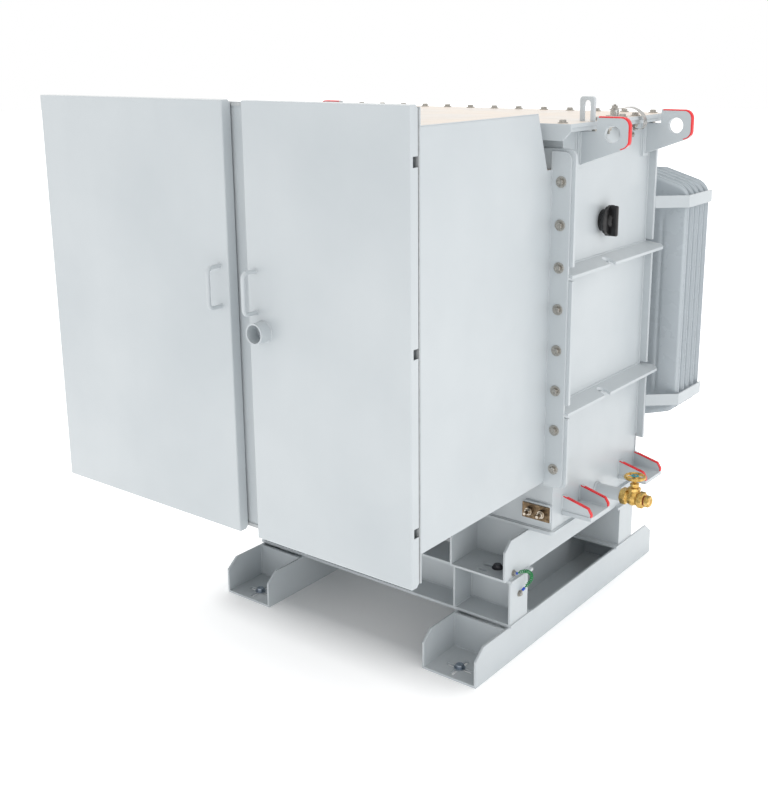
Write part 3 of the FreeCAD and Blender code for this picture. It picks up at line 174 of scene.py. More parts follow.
def noise(tree, place, scale, detail=3.0, stretch=None):
    """Cloudy noise, `scale` blotches to the metre, drawn out along an axis if asked."""
    made = node(tree, "ShaderNodeTexNoise", Scale=scale, Detail=detail)
    if stretch:
        mapping = node(tree, "ShaderNodeMapping")
        mapping.inputs["Scale"].default_value = stretch
        tree.links.new(place, mapping.inputs["Vector"])
        place = mapping.outputs["Vector"]
    tree.links.new(place, made.inputs["Vector"])
    return made.outputs["Fac"]


def spread(tree, factor, low, high, start=0.3, end=0.7):
    """Stretches a factor's middle range to run from low to high."""
    made = node(tree, "ShaderNodeMapRange", From_Min=start, From_Max=end, To_Min=low, To_Max=high)
    tree.links.new(factor, made.inputs["Value"])
    return made.outputs["Result"]


def blend_colours(tree, factor, first, second):
    """A colour between two, by a factor; either may be a colour or a socket."""
    made = tree.nodes.new("ShaderNodeMix")
    made.data_type = "RGBA"
    tree.links.new(factor, made.inputs["Factor"])
    for socket, colour in ((made.inputs[6], first), (made.inputs[7], second)):
        if isinstance(colour, bpy.types.NodeSocket):
            tree.links.new(colour, socket)
        else:
            socket.default_value = (*colour, 1.0)
    return made.outputs[2]


def bump(tree, shader, height, distance, strength=1.0, under=None):
    """Raises the surface by a height pattern, `distance` metres from low to high."""
    made = node(tree, "ShaderNodeBump", Strength=strength, Distance=distance)
    tree.links.new(height, made.inputs["Height"])
    if under:
        tree.links.new(under, made.inputs["Normal"])
    tree.links.new(made.outputs["Normal"], shader.inputs["Normal"])
    return made.outputs["Normal"]


def moulded_plastic(name, dark, light, rough):
    """Extruded or moulded plastic: faint mottling, and a fine skin that breaks up the gloss."""
    material, tree, shader, place = new_finish(name, dark, rough)
    blotch = noise(tree, place, 60.0)
    tree.links.new(blend_colours(tree, spread(tree, blotch, 0.0, 1.0), dark, light),
                   shader.inputs["Base Color"])
    tree.links.new(spread(tree, blotch, rough - 0.06, rough + 0.08), shader.inputs["Roughness"])
    bump(tree, shader, noise(tree, place, 1400.0, 2.0), 0.00006)
    return material


green_wire = moulded_plastic("green_wire", (0.010, 0.20, 0.055), (0.020, 0.30, 0.085), 0.30)
jumper.data.materials.append(green_wire)
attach(jumper, "transformer")
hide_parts("bonding_jumper")


# ---------------------------------------------------------------- floor and light
# A seamless white studio floor under a large soft box, with white walls all
# round, so that the grey paint is lit from every side and shadows stay soft.
def plane(name, size, height):
    """A flat square on the ground."""
    half = size / 2
    mesh = bpy.data.meshes.new(name)
    mesh.from_pydata([(-half, -half, height), (half, -half, height), (half, half, height),
                      (-half, half, height)], [], [(0, 1, 2, 3)])
    piece = bpy.data.objects.new(name, mesh)
    bpy.context.scene.collection.objects.link(piece)
    return piece


FLOOR_SIZE = 60.0
SHADED_HALF_SIZE = (0.40, 0.52, 0.0)
FLOOR_GLOW = 0.44
GLOW_MARGIN = 0.22
studio_floor = plane("studio_floor", FLOOR_SIZE, 0.0)
floor_paint, floor_tree, floor_shader, floor_place = new_finish(
    "floor_paint", (0.93, 0.93, 0.93), 0.75)
floor_cloud = spread(floor_tree, noise(floor_tree, floor_place, 0.8), 0.0, 1.0)
floor_tree.links.new(blend_colours(floor_tree, floor_cloud, (0.925, 0.928, 0.93), (0.94, 0.94, 0.94)),
                     floor_shader.inputs["Base Color"])
floor_shader.inputs["Specular IOR Level"].default_value = 0.2
floor_shader.inputs["Emission Color"].default_value = (1.0, 1.0, 1.0, 1.0)
# The floor glows faintly, a painted light, but not under the unit: the glow grows with the distance
# outside a rectangle a little smaller than the skid, which paints a soft shadow round it.
outside = floor_place
for operation, amount in (("ABSOLUTE", None), ("SUBTRACT", SHADED_HALF_SIZE),
                          ("MAXIMUM", (0.0, 0.0, 0.0))):
    made = floor_tree.nodes.new("ShaderNodeVectorMath")
    made.operation = operation
    floor_tree.links.new(outside, made.inputs[0])
    if amount:
        made.inputs[1].default_value = amount
    outside = made.outputs["Vector"]
distance = floor_tree.nodes.new("ShaderNodeVectorMath")
distance.operation = "LENGTH"
floor_tree.links.new(outside, distance.inputs[0])
floor_tree.links.new(spread(floor_tree, distance.outputs["Value"], 0.0, FLOOR_GLOW, 0.0, GLOW_MARGIN),
                     floor_shader.inputs["Emission Strength"])
studio_floor.data.materials.append(floor_paint)


def soft_box(name, place, aim, size, power, colour=(1.0, 1.0, 1.0)):
    """A large square light at a place, facing a point."""
    light = bpy.data.lights.new(name, "AREA")
    light.shape = "SQUARE"
    light.size = size
    light.energy = power
    light.color = colour
    lamp = bpy.data.objects.new(name, light)
    lamp.location = place
    lamp.rotation_euler = (Vector(aim) - Vector(place)).to_track_quat("-Z", "Y").to_euler()
    bpy.context.scene.collection.objects.link(lamp)
    return lamp


soft_box("overhead_light", (-0.8, 0.6, 5.0), (0.0, 0.0, 0.8), 4.0, 75.0, (1.0, 0.95, 0.88))
soft_box("side_light", (4.8, -1.0, 2.4), (0.2, -0.2, 0.9), 2.6, 16.0)
world = bpy.data.worlds.new("studio")
world.use_nodes = True
world.node_tree.nodes["Background"].inputs["Color"].default_value = (1.0, 1.0, 1.0, 1.0)
world.node_tree.nodes["Background"].inputs["Strength"].default_value = 1.0
bpy.context.scene.world = world
bpy.context.scene.view_settings.view_transform = "Standard"


# ---------------------------------------------------------------- painted steelwork
# Tank, cabinet, skid and channels: folded and welded mild steel sheet and plate,
# all sprayed the same light grey; upward faces are tinted warm cream, partly by dust and partly as painted
# warm light from above.
PAINT_DARK = (0.482, 0.522, 0.546)
PAINT_LIGHT = (0.542, 0.579, 0.600)
# Warm cream for upward faces: partly settled dust, partly painted warm light from above.
DUST_AND_TOP_LIGHT = (0.660, 0.567, 0.480)
STREAK_SHARE = 0.22
SHARP_ANGLE = math.radians(32.0)


def grey_paint(name, dark, light, rough, dust_and_top_light=0.06):
    """Sprayed enamel: broad faint clouds, fine orange peel, streaks that run down, and on top a warm tint
    that is partly dust and partly painted light from above.
    """
    material, tree, shader, place = new_finish(name, light, rough)
    cloud = spread(tree, noise(tree, place, 2.2, 5.0), 0.0, 1.0)
    streak = spread(tree, noise(tree, place, 9.0, 4.0, stretch=(1.0, 1.0, 0.12)), 0.0, 1.0)
    colour = blend_colours(tree, cloud, dark, light)
    streaked = tree.nodes.new("ShaderNodeMath")
    streaked.operation = "MULTIPLY"
    streaked.inputs[1].default_value = STREAK_SHARE
    tree.links.new(streak, streaked.inputs[0])
    colour = blend_colours(tree, streaked.outputs["Value"], colour, dark)
    normal = tree.nodes.new("ShaderNodeNewGeometry").outputs["Normal"]
    height = tree.nodes.new("ShaderNodeSeparateXYZ")
    tree.links.new(normal, height.inputs["Vector"])
    # Faces that point up turn towards the warm cream: dust, and painted light from above.
    upward = spread(tree, height.outputs["Z"], 0.0, dust_and_top_light, 0.85, 1.0)
    dust_and_light_share = tree.nodes.new("ShaderNodeMath")
    dust_and_light_share.operation = "MULTIPLY"
    tree.links.new(upward, dust_and_light_share.inputs[0])
    tree.links.new(spread(tree, noise(tree, place, 5.0, 6.0), 0.55, 1.0), dust_and_light_share.inputs[1])
    colour = blend_colours(tree, dust_and_light_share.outputs["Value"], colour, DUST_AND_TOP_LIGHT)
    tree.links.new(colour, shader.inputs["Base Color"])
    tree.links.new(spread(tree, noise(tree, place, 14.0), rough - 0.05, rough + 0.09),
                   shader.inputs["Roughness"])
    shader.inputs["Coat Weight"].default_value = 0.12
    shader.inputs["Coat Roughness"].default_value = 0.22
    peel = bump(tree, shader, noise(tree, place, 420.0, 2.0), 0.00012, 0.6)
    bump(tree, shader, noise(tree, place, 3.0, 1.0), 0.0016, 0.35, under=peel)
    return material


tank_paint = grey_paint("tank_paint", PAINT_DARK, PAINT_LIGHT, 0.33)
# The lid and the roof take the warm top tint almost fully: painted warm light from above, with some dust.
lid_paint = grey_paint("lid_paint", PAINT_DARK, PAINT_LIGHT, 0.36, dust_and_top_light=0.95)
record = frame["record"]
slot_of = {part["node"]: part["material_slot"] for part in record["subparts"]}
body_of = {member: body for body, members in record["behaviour"]["bodies"].items() for member in members}


def give_finish(piece, material):
    """The piece's own slots all take one finish."""
    for slot in piece.material_slots:
        slot.material = material


def eased_copy(part, width, material, fold=0.0):
    """The part again with its edges eased: a copy of its mesh is merged, its flat faces are
    joined, a fold along the rim of its front face is rolled, and every sharp edge is rounded
    by the width given."""
    name = part + "_eased"
    mesh = frame["nodes"][part].data.copy()
    mesh.name = name
    shape = bmesh.new()
    shape.from_mesh(mesh)
    bmesh.ops.remove_doubles(shape, verts=shape.verts, dist=0.00001)
    bmesh.ops.dissolve_limit(shape, angle_limit=math.radians(1.0), verts=shape.verts, edges=shape.edges)
    if fold:
        front = min(v.co.y for v in shape.verts)
        rim = [e for e in shape.edges if all(v.co.y < front + 0.0001 for v in e.verts)]
        bmesh.ops.bevel(shape, geom=rim, offset=fold, segments=4, profile=0.5, affect="EDGES",
                        clamp_overlap=True)
    shape.to_mesh(mesh)
    shape.free()
    mesh.polygons.foreach_set("use_smooth", [True] * len(mesh.polygons))
    mesh.set_sharp_from_angle(angle=SHARP_ANGLE)
    piece = bpy.data.objects.new(name, mesh)
    bpy.context.scene.collection.objects.link(piece)
    give_finish(piece, material)
    easing = piece.modifiers.new("eased_edges", "BEVEL")
    easing.width = width
    easing.segments = 2
    easing.limit_method = "ANGLE"
    easing.angle_limit = SHARP_ANGLE
    easing.use_clamp_overlap = False
    easing.harden_normals = True
    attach(piece, body_of[part])
    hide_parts(part)
    return piece


EDGE_RADII = {
    "skid_right": 0.0016, "skid_left": 0.0016, "cross_beam_front": 0.0014, "cross_beam_rear": 0.0014,
    "upper_channel_right": 0.0014, "upper_channel_left": 0.0014, "tank_bottom_plate": 0.0014,
    "tank_front_plate": 0.0016, "tank_rear_plate": 0.0016, "stiffener_belt_upper": 0.0016,
    "stiffener_belt_lower": 0.0016, "lid": 0.0018,
    "lid_lifting_eye": 0.0014, "lifting_lugs": 0.0014, "jacking_pads": 0.0012,
    "radiator_straps": 0.0010, "cabinet_side_right": 0.0009, "cabinet_side_left": 0.0009,
    "cabinet_roof": 0.0009, "right_door": 0.0012, "left_door": 0.0012, "tank_shell": 0.0016,
    "ground_block": 0.0014,
}
DOOR_FOLD = 0.0045
for part, radius in EDGE_RADII.items():
    finish = lid_paint if part in ("lid", "cabinet_roof") else tank_paint
    eased_copy(part, radius, finish, DOOR_FOLD if part.endswith("_door") else 0.0)
for part, slot_name in slot_of.items():
    if slot_name == "light_grey_paint":
        give_finish(frame["nodes"][part], tank_paint)


# ---------------------------------------------------------------- fixings
# Hexagon bolts with plain washers: stainless steel round the lid and down the
# cabinet's flanges, blue zinc in the skid's floor slots and black oxide in the upper channels.
def grid_faces(rows, columns, closed_rows=False, closed_columns=False):
    """Quads between neighbours of a grid of points, wrapped round where a side is closed."""
    last_row = rows if closed_rows else rows - 1
    last_column = columns if closed_columns else columns - 1
    row, column = np.meshgrid(np.arange(last_row), np.arange(last_column), indexing="ij")
    next_row = (row + 1) % rows
    next_column = (column + 1) % columns
    quads = np.stack([row * columns + column, row * columns + next_column,
                      next_row * columns + next_column, next_row * columns + column], axis=-1)
    return quads.reshape(-1, 4)


def turned(profile, sides=24, flats=()):
    """A turned shape about +Z: ring k has the profile's radius and height, and a ring named in
    `flats` has the radius of a hexagon, which grows towards its corners as one over a cosine."""
    angle = np.linspace(0.0, 2.0 * np.pi, sides, endpoint=False)
    radius = np.array([p[0] for p in profile])[:, None] * np.ones_like(angle)[None, :]
    corner = 1.0 / np.cos((angle + np.pi / 6) % (np.pi / 3) - np.pi / 6)
    for ring in flats:
        radius[ring] *= corner
    height = np.array([p[1] for p in profile])[:, None] * np.ones_like(angle)[None, :]
    points = np.stack([radius * np.cos(angle), radius * np.sin(angle), height], axis=-1)
    return points.reshape(-1, 3), grid_faces(len(profile), sides, closed_columns=True)


def aimed(direction):
    """The turn that brings +Z to a direction."""
    return np.array(Vector((0.0, 0.0, 1.0)).rotation_difference(Vector(direction)).to_matrix())


def moved(shape, place, direction=(0.0, 0.0, 1.0)):
    """A shape turned to face a direction and carried to a place."""
    points, faces = shape
    return points @ aimed(direction).T + np.asarray(place), faces


def joined(shapes):
    """Several shapes as one list of points and one of faces."""
    points, faces, count = [], [], 0
    for some_points, some_faces in shapes:
        points.append(some_points)
        faces.append(some_faces + count)
        count += len(some_points)
    return np.concatenate(points), np.concatenate(faces)


def steel_piece(name, shapes, body, material, crease=32.0):
    """A piece made of surfaces: its poles and seams are merged and its faces turned outwards."""
    points, faces = joined(shapes)
    mesh = bpy.data.meshes.new(name)
    mesh.from_pydata(points, [], faces)
    shape = bmesh.new()
    shape.from_mesh(mesh)
    bmesh.ops.remove_doubles(shape, verts=shape.verts, dist=0.000002)
    bmesh.ops.dissolve_degenerate(shape, edges=shape.edges, dist=0.000001)
    bmesh.ops.recalc_face_normals(shape, faces=shape.faces)
    shape.to_mesh(mesh)
    shape.free()
    mesh.polygons.foreach_set("use_smooth", [True] * len(mesh.polygons))
    mesh.set_sharp_from_angle(angle=math.radians(crease))
    mesh.materials.append(material)
    piece = bpy.data.objects.new(name, mesh)
    bpy.context.scene.collection.objects.link(piece)
    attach(piece, body)
    return piece


def stainless(name, dark, light, rough, grain=260.0):
    """Machined steel: mottled tone and fine turning marks."""
    material, tree, shader, place = new_finish(name, dark, rough, 1.0)
    tone = noise(tree, place, grain, 4.0)
    tree.links.new(blend_colours(tree, spread(tree, tone, 0.0, 1.0), dark, light),
                   shader.inputs["Base Color"])
    tree.links.new(spread(tree, noise(tree, place, grain * 0.4), rough - 0.08, rough + 0.12),
                   shader.inputs["Roughness"])
    bump(tree, shader, noise(tree, place, grain * 5.0, 2.0), 0.00008)
    return material


bolt_steel = stainless("bolt_steel", (0.30, 0.285, 0.26), (0.52, 0.50, 0.46), 0.34)


def hexagon_head(flats, height):
    """A bolt head: six flats, the corners turned off at the top, a shallow dished face."""
    half = flats / 2
    profile = [(0.0, 0.0), (half, 0.0), (half, height * 0.78), (half * 0.94, height),
               (half * 0.62, height), (half * 0.55, height * 0.93), (0.0, height * 0.93)]
    return turned(profile, 24, flats=(1, 2))


def plain_washer(radius, thickness):
    """A flat round washer with eased rims, seated face down."""
    return turned([(0.0, 0.0), (radius * 0.97, 0.0), (radius, thickness * 0.3),
                   (radius, thickness * 0.75), (radius * 0.97, thickness), (0.0, thickness)], 28)


def threaded_end(radius, length, pitch=0.00175):
    """A threaded bolt end: the radius rises and falls once for each turn of the thread."""
    rings = int(length / pitch * 2)
    heights = np.linspace(0.0, length, rings)
    radii = np.where(np.arange(rings) % 2 == 0, radius, radius * 0.88)
    profile = [(0.0, 0.0), *zip(radii, heights), (radius * 0.8, length + pitch / 2),
               (0.0, length + pitch / 2)]
    return turned(profile, 16)


def bolt(flats, head, washer, thickness):
    """A hexagon head on its washer, seated at the origin and standing along +Z."""
    return joined([plain_washer(washer, thickness),
                   moved(hexagon_head(flats, head), (0.0, 0.0, thickness))])


def nut_below(flats, height, washer, thickness, thread, length):
    """A washer, a nut and the end of the bolt coming out of it, along +Z."""
    return joined([plain_washer(washer, thickness),
                   moved(hexagon_head(flats, height), (0.0, 0.0, thickness)),
                   moved(threaded_end(thread, length), (0.0, 0.0, thickness + height * 0.9))])


lid_low, lid_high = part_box("lid")
rim_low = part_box("tank_shell")[1].z - 0.012
LID_ROW_BOLTS = 13
LID_SIDE_BOLTS = 4
LID_BOLT_PITCH = 0.1003
LID_SIDE_INSET = 0.024
LID_FRONT_INSET = 0.030
LID_REAR_INSET = 0.013
LID_SIDE_START = 0.099
LID_SIDE_END = 0.094
EYE_ROOM_ACROSS = 0.020
EYE_ROOM_ALONG = 0.026
M10_FLATS = 0.017
M10_HEAD = 0.0075
M10_NUT = 0.009
M10_THREAD = 0.0048
M10_END = 0.010
LID_WASHER_RADIUS = 0.0145
LID_WASHER = 0.0022
lid_bolt = bolt(M10_FLATS, M10_HEAD, LID_WASHER_RADIUS, LID_WASHER)
lid_nut = nut_below(M10_FLATS, M10_NUT, LID_WASHER_RADIUS, LID_WASHER, M10_THREAD, M10_END)
row_x = (np.arange(LID_ROW_BOLTS) - (LID_ROW_BOLTS - 1) / 2) * LID_BOLT_PITCH
side_y = np.linspace(lid_low.y + LID_SIDE_START, lid_high.y - LID_SIDE_END, LID_SIDE_BOLTS + 2)[1:-1]
front_row_y = lid_low.y + LID_FRONT_INSET
rear_row_y = lid_high.y - LID_REAR_INSET
lid_places = [(x, rear_row_y) for x in row_x] + [(x, front_row_y) for x in row_x]
lid_places += [(side * (lid_high.x - LID_SIDE_INSET), y) for side in (-1, 1) for y in side_y]
eye_low, eye_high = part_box("lid_lifting_eye")
lid_places = [(x, y) for x, y in lid_places
              if not (eye_low.x - EYE_ROOM_ACROSS < x < eye_high.x + EYE_ROOM_ACROSS
                      and abs(y - eye_low.y) < EYE_ROOM_ALONG)]
steel_piece("lid_bolts", [moved(lid_bolt, (x, y, lid_high.z)) for x, y in lid_places],
            "transformer", bolt_steel)
steel_piece("lid_nuts", [moved(lid_nut, (x, y, rim_low), (0, 0, -1)) for x, y in lid_places],
            "transformer", bolt_steel)

FLANGE_BOLTS = 8
FLANGE_BOLT_PITCH = 0.124
FLANGE_TOP_BOLT_Z = 1.504
FLANGE_BOLT_INSET = 0.030
FLANGE_PLATE = 0.008
flange_bolt = bolt(M10_FLATS, M10_HEAD, 0.0165, 0.0025)
flange_places = []
for side, part in ((1, "cabinet_side_right"), (-1, "cabinet_side_left")):
    flange_low, flange_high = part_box(part)
    edge = flange_high.x if side > 0 else flange_low.x
    for k in range(FLANGE_BOLTS):
        flange_places.append((edge - side * FLANGE_BOLT_INSET, flange_high.y - FLANGE_PLATE,
                              FLANGE_TOP_BOLT_Z - k * FLANGE_BOLT_PITCH))
steel_piece("cabinet_flange_bolts", [moved(flange_bolt, p, (0, -1, 0)) for p in flange_places],
            "transformer", bolt_steel)

M16_FLATS = 0.024
M16_HEAD = 0.010
M16_WASHER_RADIUS = 0.0185
M16_WASHER = 0.003
PLATE = 0.008
anchor_bolt = bolt(M16_FLATS, M16_HEAD, M16_WASHER_RADIUS, M16_WASHER)
anchors = [m for m in record["mounts"] if m["name"] == "floor_anchors"][0]["dims"]
CORNERS = [(sx, sy) for sx in (-1, 1) for sy in (-1, 1)]
anchor_places = [(sx * anchors["spacing_x_mm"] / 2000, sy * anchors["spacing_y_mm"] / 2000, PLATE)
                 for sx, sy in CORNERS]
channel_low, channel_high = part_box("upper_channel_right")
HOLD_DOWN_X = 0.456
HOLD_DOWN_Y = 0.373
channel_places = [(sx * HOLD_DOWN_X, sy * HOLD_DOWN_Y, channel_low.z + PLATE) for sx, sy in CORNERS]
steel_piece("anchor_bolts", [moved(anchor_bolt, p) for p in anchor_places], "transformer",
            stainless("blue_zinc", (0.20, 0.24, 0.29), (0.42, 0.47, 0.53), 0.34))
steel_piece("hold_down_bolts", [moved(anchor_bolt, p) for p in channel_places], "transformer",
            stainless("black_oxide", (0.045, 0.045, 0.050), (0.12, 0.12, 0.13), 0.40))


# ---------------------------------------------------------------- bonding lugs
# Ring lugs stamped from tinned copper, with blue plastic sleeves over the crimps,
# each held by a small hexagon bolt.
def cup(radius, wall, length):
    """A sleeve open at its far end, with a rounded mouth."""
    inner = radius - wall
    return turned([(0.0, 0.0), (radius * 0.7, 0.0), (radius, length * 0.12), (radius * 0.94, length * 0.5),
                   (radius, length * 0.9), (radius - wall / 2, length), (inner, length * 0.96),
                   (inner, length * 0.6), (0.0, length * 0.6)], 24)


blue_sleeve = moulded_plastic("blue_sleeve", (0.010, 0.060, 0.42), (0.016, 0.085, 0.52), 0.32)
LUG_RING_RADIUS = 0.0105
LUG_RING = 0.0024
SLEEVE_RADIUS = 0.0045
SLEEVE_WALL = 0.0012
BEAM_WALL_X = 0.531
LUG_BOLTS = ((channel_high.x, -0.387, 0.297), (BEAM_WALL_X, -0.364, 0.221))
lug_ends = (JUMPER_ROUTE[0], JUMPER_ROUTE[-1])
m8_bolt = bolt(0.013, 0.0055, 0.0085, 0.0016)
sleeves = []
lug_metal = []
for (face_x, y, z), end in zip(LUG_BOLTS, lug_ends):
    seat = Vector((face_x + LUG_RING / 2, y, z))
    run = Vector(end) - seat
    sleeves.append(moved(cup(SLEEVE_RADIUS, SLEEVE_WALL, run.length / 2), seat + run / 2, run))
    tongue = turned([(0.0, 0.0), (0.0042, 0.0), (0.0036, run.length * 0.25),
                     (0.0034, run.length * 0.52), (0.0, run.length * 0.52)], 16)
    lug_metal.append(moved(tongue, seat, run))
    lug_metal.append(moved(plain_washer(LUG_RING_RADIUS, LUG_RING), (face_x, y, z), (1, 0, 0)))
    lug_metal.append(moved(m8_bolt, (face_x + LUG_RING, y, z), (1, 0, 0)))
lug_sleeves = steel_piece("jumper_lug_sleeves", sleeves, "transformer", blue_sleeve)
lug_rings = steel_piece("jumper_lug_rings", lug_metal, "transformer", bolt_steel)
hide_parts("jumper_lugs")
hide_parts("jumper_lugs")


# ---------------------------------------------------------------- radiators
# Pressed steel panels, two sheets seam welded round their edge and between the
# oil ways, hung on an upper and a lower header pipe out of the rear wall.
PANEL_COUNT = 5
PANEL_PITCH = 0.040
PANEL_WIDTH = 0.516
PANEL_TOP = 1.470
PANEL_FOOT = 0.617
PANEL_SHOULDER = 0.046
PANEL_FLAT = 0.105
PANEL_CORNER = 0.040
PANEL_HALF = 0.0058
PANEL_SEAM = 0.0014
FLUTE_LOW = 0.719
FLUTE_HIGH = 1.321
FLUTE_PITCH = 0.0688
GROOVE_HALF = 0.0075
GROOVED_HALF = 0.19
GROOVE_SHARE = 0.62
GROOVE_END = 0.012
HEADER_RADIUS = 0.045
HEADER_EDGE = 0.075


def smooth_step(value, low, high):
    """0 below low, 1 above high, and an easy S between them."""
    share = np.clip((value - low) / (high - low), 0.0, 1.0)
    return share * share * (3.0 - 2.0 * share)


def panel_edges(across):
    """The panel's lower and upper edge at each place across it: flat in the middle, then a
    straight slope, then a quarter round at the outer corner."""
    half = PANEL_WIDTH / 2
    out = np.clip((np.abs(across) - PANEL_FLAT) / (half - PANEL_FLAT), 0.0, 1.0) * PANEL_SHOULDER
    past = np.clip(np.abs(across) - (half - PANEL_CORNER), 0.0, PANEL_CORNER)
    round_off = PANEL_CORNER - np.sqrt(np.maximum(PANEL_CORNER ** 2 - past ** 2, 0.0))
    return PANEL_FOOT + out + round_off, PANEL_TOP - out - round_off


def panel_side(centre_x, middle_y, side, columns=105, rows=64):
    """One pressed sheet: across runs from edge to edge and up from foot to top.  Its height
    above the seam climbs within a centimetre of the edge, and drops again in the grooves
    between the oil ways."""
    half = PANEL_WIDTH / 2
    across = -half * np.cos(np.linspace(0.0, np.pi, columns))
    across = 0.35 * across + 0.65 * np.linspace(-half, half, columns)
    low, high = panel_edges(across)
    share = np.linspace(0.0, 1.0, rows)
    share = 0.5 - 0.5 * np.cos(np.pi * (0.5 * share + 0.5 * (0.5 - 0.5 * np.cos(np.pi * share))))
    share = (share - share[0]) / (share[-1] - share[0])
    height = low[:, None] + (high - low)[:, None] * share[None, :]
    from_side = (half - np.abs(across))[:, None] + 0.0 * height
    from_end = np.minimum(height - low[:, None], high[:, None] - height)
    swell = smooth_step(np.minimum(from_side, from_end), 0.001, 0.013)
    groove_place = (np.abs(across) + FLUTE_PITCH / 2) / FLUTE_PITCH
    nearest = np.abs(groove_place - np.round(groove_place)) * FLUTE_PITCH
    groove = (1.0 - smooth_step(nearest, 0.0015, GROOVE_HALF)) * (np.abs(across) < GROOVED_HALF)
    length = smooth_step(height, FLUTE_LOW - GROOVE_END, FLUTE_LOW + GROOVE_END)
    length = length * (1.0 - smooth_step(height, FLUTE_HIGH - GROOVE_END, FLUTE_HIGH + GROOVE_END))
    sunk = groove[:, None] * length * GROOVE_SHARE
    thick = PANEL_SEAM + (PANEL_HALF - PANEL_SEAM) * swell * (1.0 - sunk)
    return np.stack([centre_x + across[:, None] + 0.0 * height, middle_y + side * thick, height], axis=-1)


def sheet_rim(points):
    """The outer points of a grid, once round."""
    return np.concatenate([points[:, 0], points[-1, 1:], points[-2::-1, -1], points[0, -2:0:-1]])


def panel(centre_x, middle_y):
    """A panel: two pressed sheets back to back, closed round the edge by a narrow seam."""
    front = panel_side(centre_x, middle_y, -1)
    back = panel_side(centre_x, middle_y, 1)
    columns, rows = front.shape[:2]
    edge = np.stack([sheet_rim(front), sheet_rim(back)])
    count = edge.shape[1]
    return joined([(front.reshape(-1, 3), grid_faces(columns, rows)),
                   (back.reshape(-1, 3), grid_faces(columns, rows)),
                   (edge.reshape(-1, 3), grid_faces(2, count, closed_columns=True))])


def header_pipe(centre_x, height, start, end):
    """A header pipe out of the wall, with a raised weld collar at the wall and a domed end."""
    reach = end - start
    profile = [(0.0, 0.0), (0.052, 0.0), (0.051, 0.004), (0.0455, 0.009), (HEADER_RADIUS, reach - 0.010),
               (0.042, reach - 0.003), (0.034, reach), (0.0, reach)]
    return moved(turned(profile, 40), (centre_x, start, height), (0, 1, 0))


def panel_weld(centre_x, middle_y, height):
    """The bead round a header where it passes through a panel: a ring of round section."""
    turn, around = np.meshgrid(np.linspace(0, 2 * np.pi, 40, endpoint=False),
                               np.linspace(0, 2 * np.pi, 8, endpoint=False), indexing="ij")
    ripple = 1.0 + 0.15 * np.sin(turn * 26)
    radius = 0.0462 + 0.0030 * ripple * np.cos(around)
    points = np.stack([centre_x + radius * np.cos(turn), middle_y + 0.0030 * ripple * np.sin(around),
                       height + radius * np.sin(turn)], axis=-1)
    return points.reshape(-1, 3), grid_faces(40, 8, closed_rows=True, closed_columns=True)


# The radiators' grey is darker than the tank's: painted shade, standing in for the shade between the
# close-set panels.
shaded_radiator_paint = grey_paint("shaded_radiator_paint", (0.470, 0.520, 0.555), (0.525, 0.570, 0.605), 0.26)
rear_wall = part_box("tank_rear_plate")[1].y
for hand in ("right", "left"):
    bank_low, bank_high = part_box("radiator_headers_" + hand)
    centre = (bank_low.x + bank_high.x) / 2
    middles = [bank_high.y - 0.008 - PANEL_PITCH * k - 0.006 for k in range(PANEL_COUNT)]
    shapes = [panel(centre, middle) for middle in middles]
    for header in (PANEL_TOP - HEADER_EDGE, PANEL_FOOT + HEADER_EDGE):
        shapes.append(header_pipe(centre, header, rear_wall, bank_high.y))
        for middle in middles:
            for face in (-1, 1):
                shapes.append(panel_weld(centre, middle + face * PANEL_HALF, header))
    bank = steel_piece("radiator_bank_" + hand, shapes, "transformer", shaded_radiator_paint,
                       50.0)
    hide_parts("radiator_panels_" + hand, "radiator_headers_" + hand)


# ---------------------------------------------------------------- weld beads
# Fillet welds left by hand: overlapping ripples of steel along each joint of the
# tank, its belts, lugs, pads and the base, all under the same grey paint.
def bead(start, end, radius=0.0036, ripple=0.0034):
    """A fillet along a line: a round section whose radius swells once for each ripple."""
    start, end = np.asarray(start, float), np.asarray(end, float)
    run = end - start
    length = np.linalg.norm(run)
    count = max(8, int(length / ripple * 3))
    along = np.linspace(0.0, 1.0, count)
    around = np.linspace(0.0, 2.0 * np.pi, 7, endpoint=False)
    forward = run / length
    side = np.cross(forward, (0.0, 0.0, 1.0) if abs(forward[2]) < 0.9 else (1.0, 0.0, 0.0))
    side /= np.linalg.norm(side)
    up = np.cross(forward, side)
    swell = radius * (1.0 + 0.10 * np.sin(along * length / ripple * 2 * np.pi)
                      + 0.07 * np.sin(along * length * 31.0))
    swell[0] = swell[-1] = 0.0
    section = np.cos(around)[:, None] * side + np.sin(around)[:, None] * up
    points = start + along[:, None, None] * run + swell[:, None, None] * section[None]
    return points.reshape(-1, 3), grid_faces(count, 7, closed_columns=True)


def both_sides(lines):
    """Each line and its mirror image across the centre plane."""
    mirrored = [tuple((-p[0], p[1], p[2]) for p in line) for line in lines]
    return list(lines) + mirrored


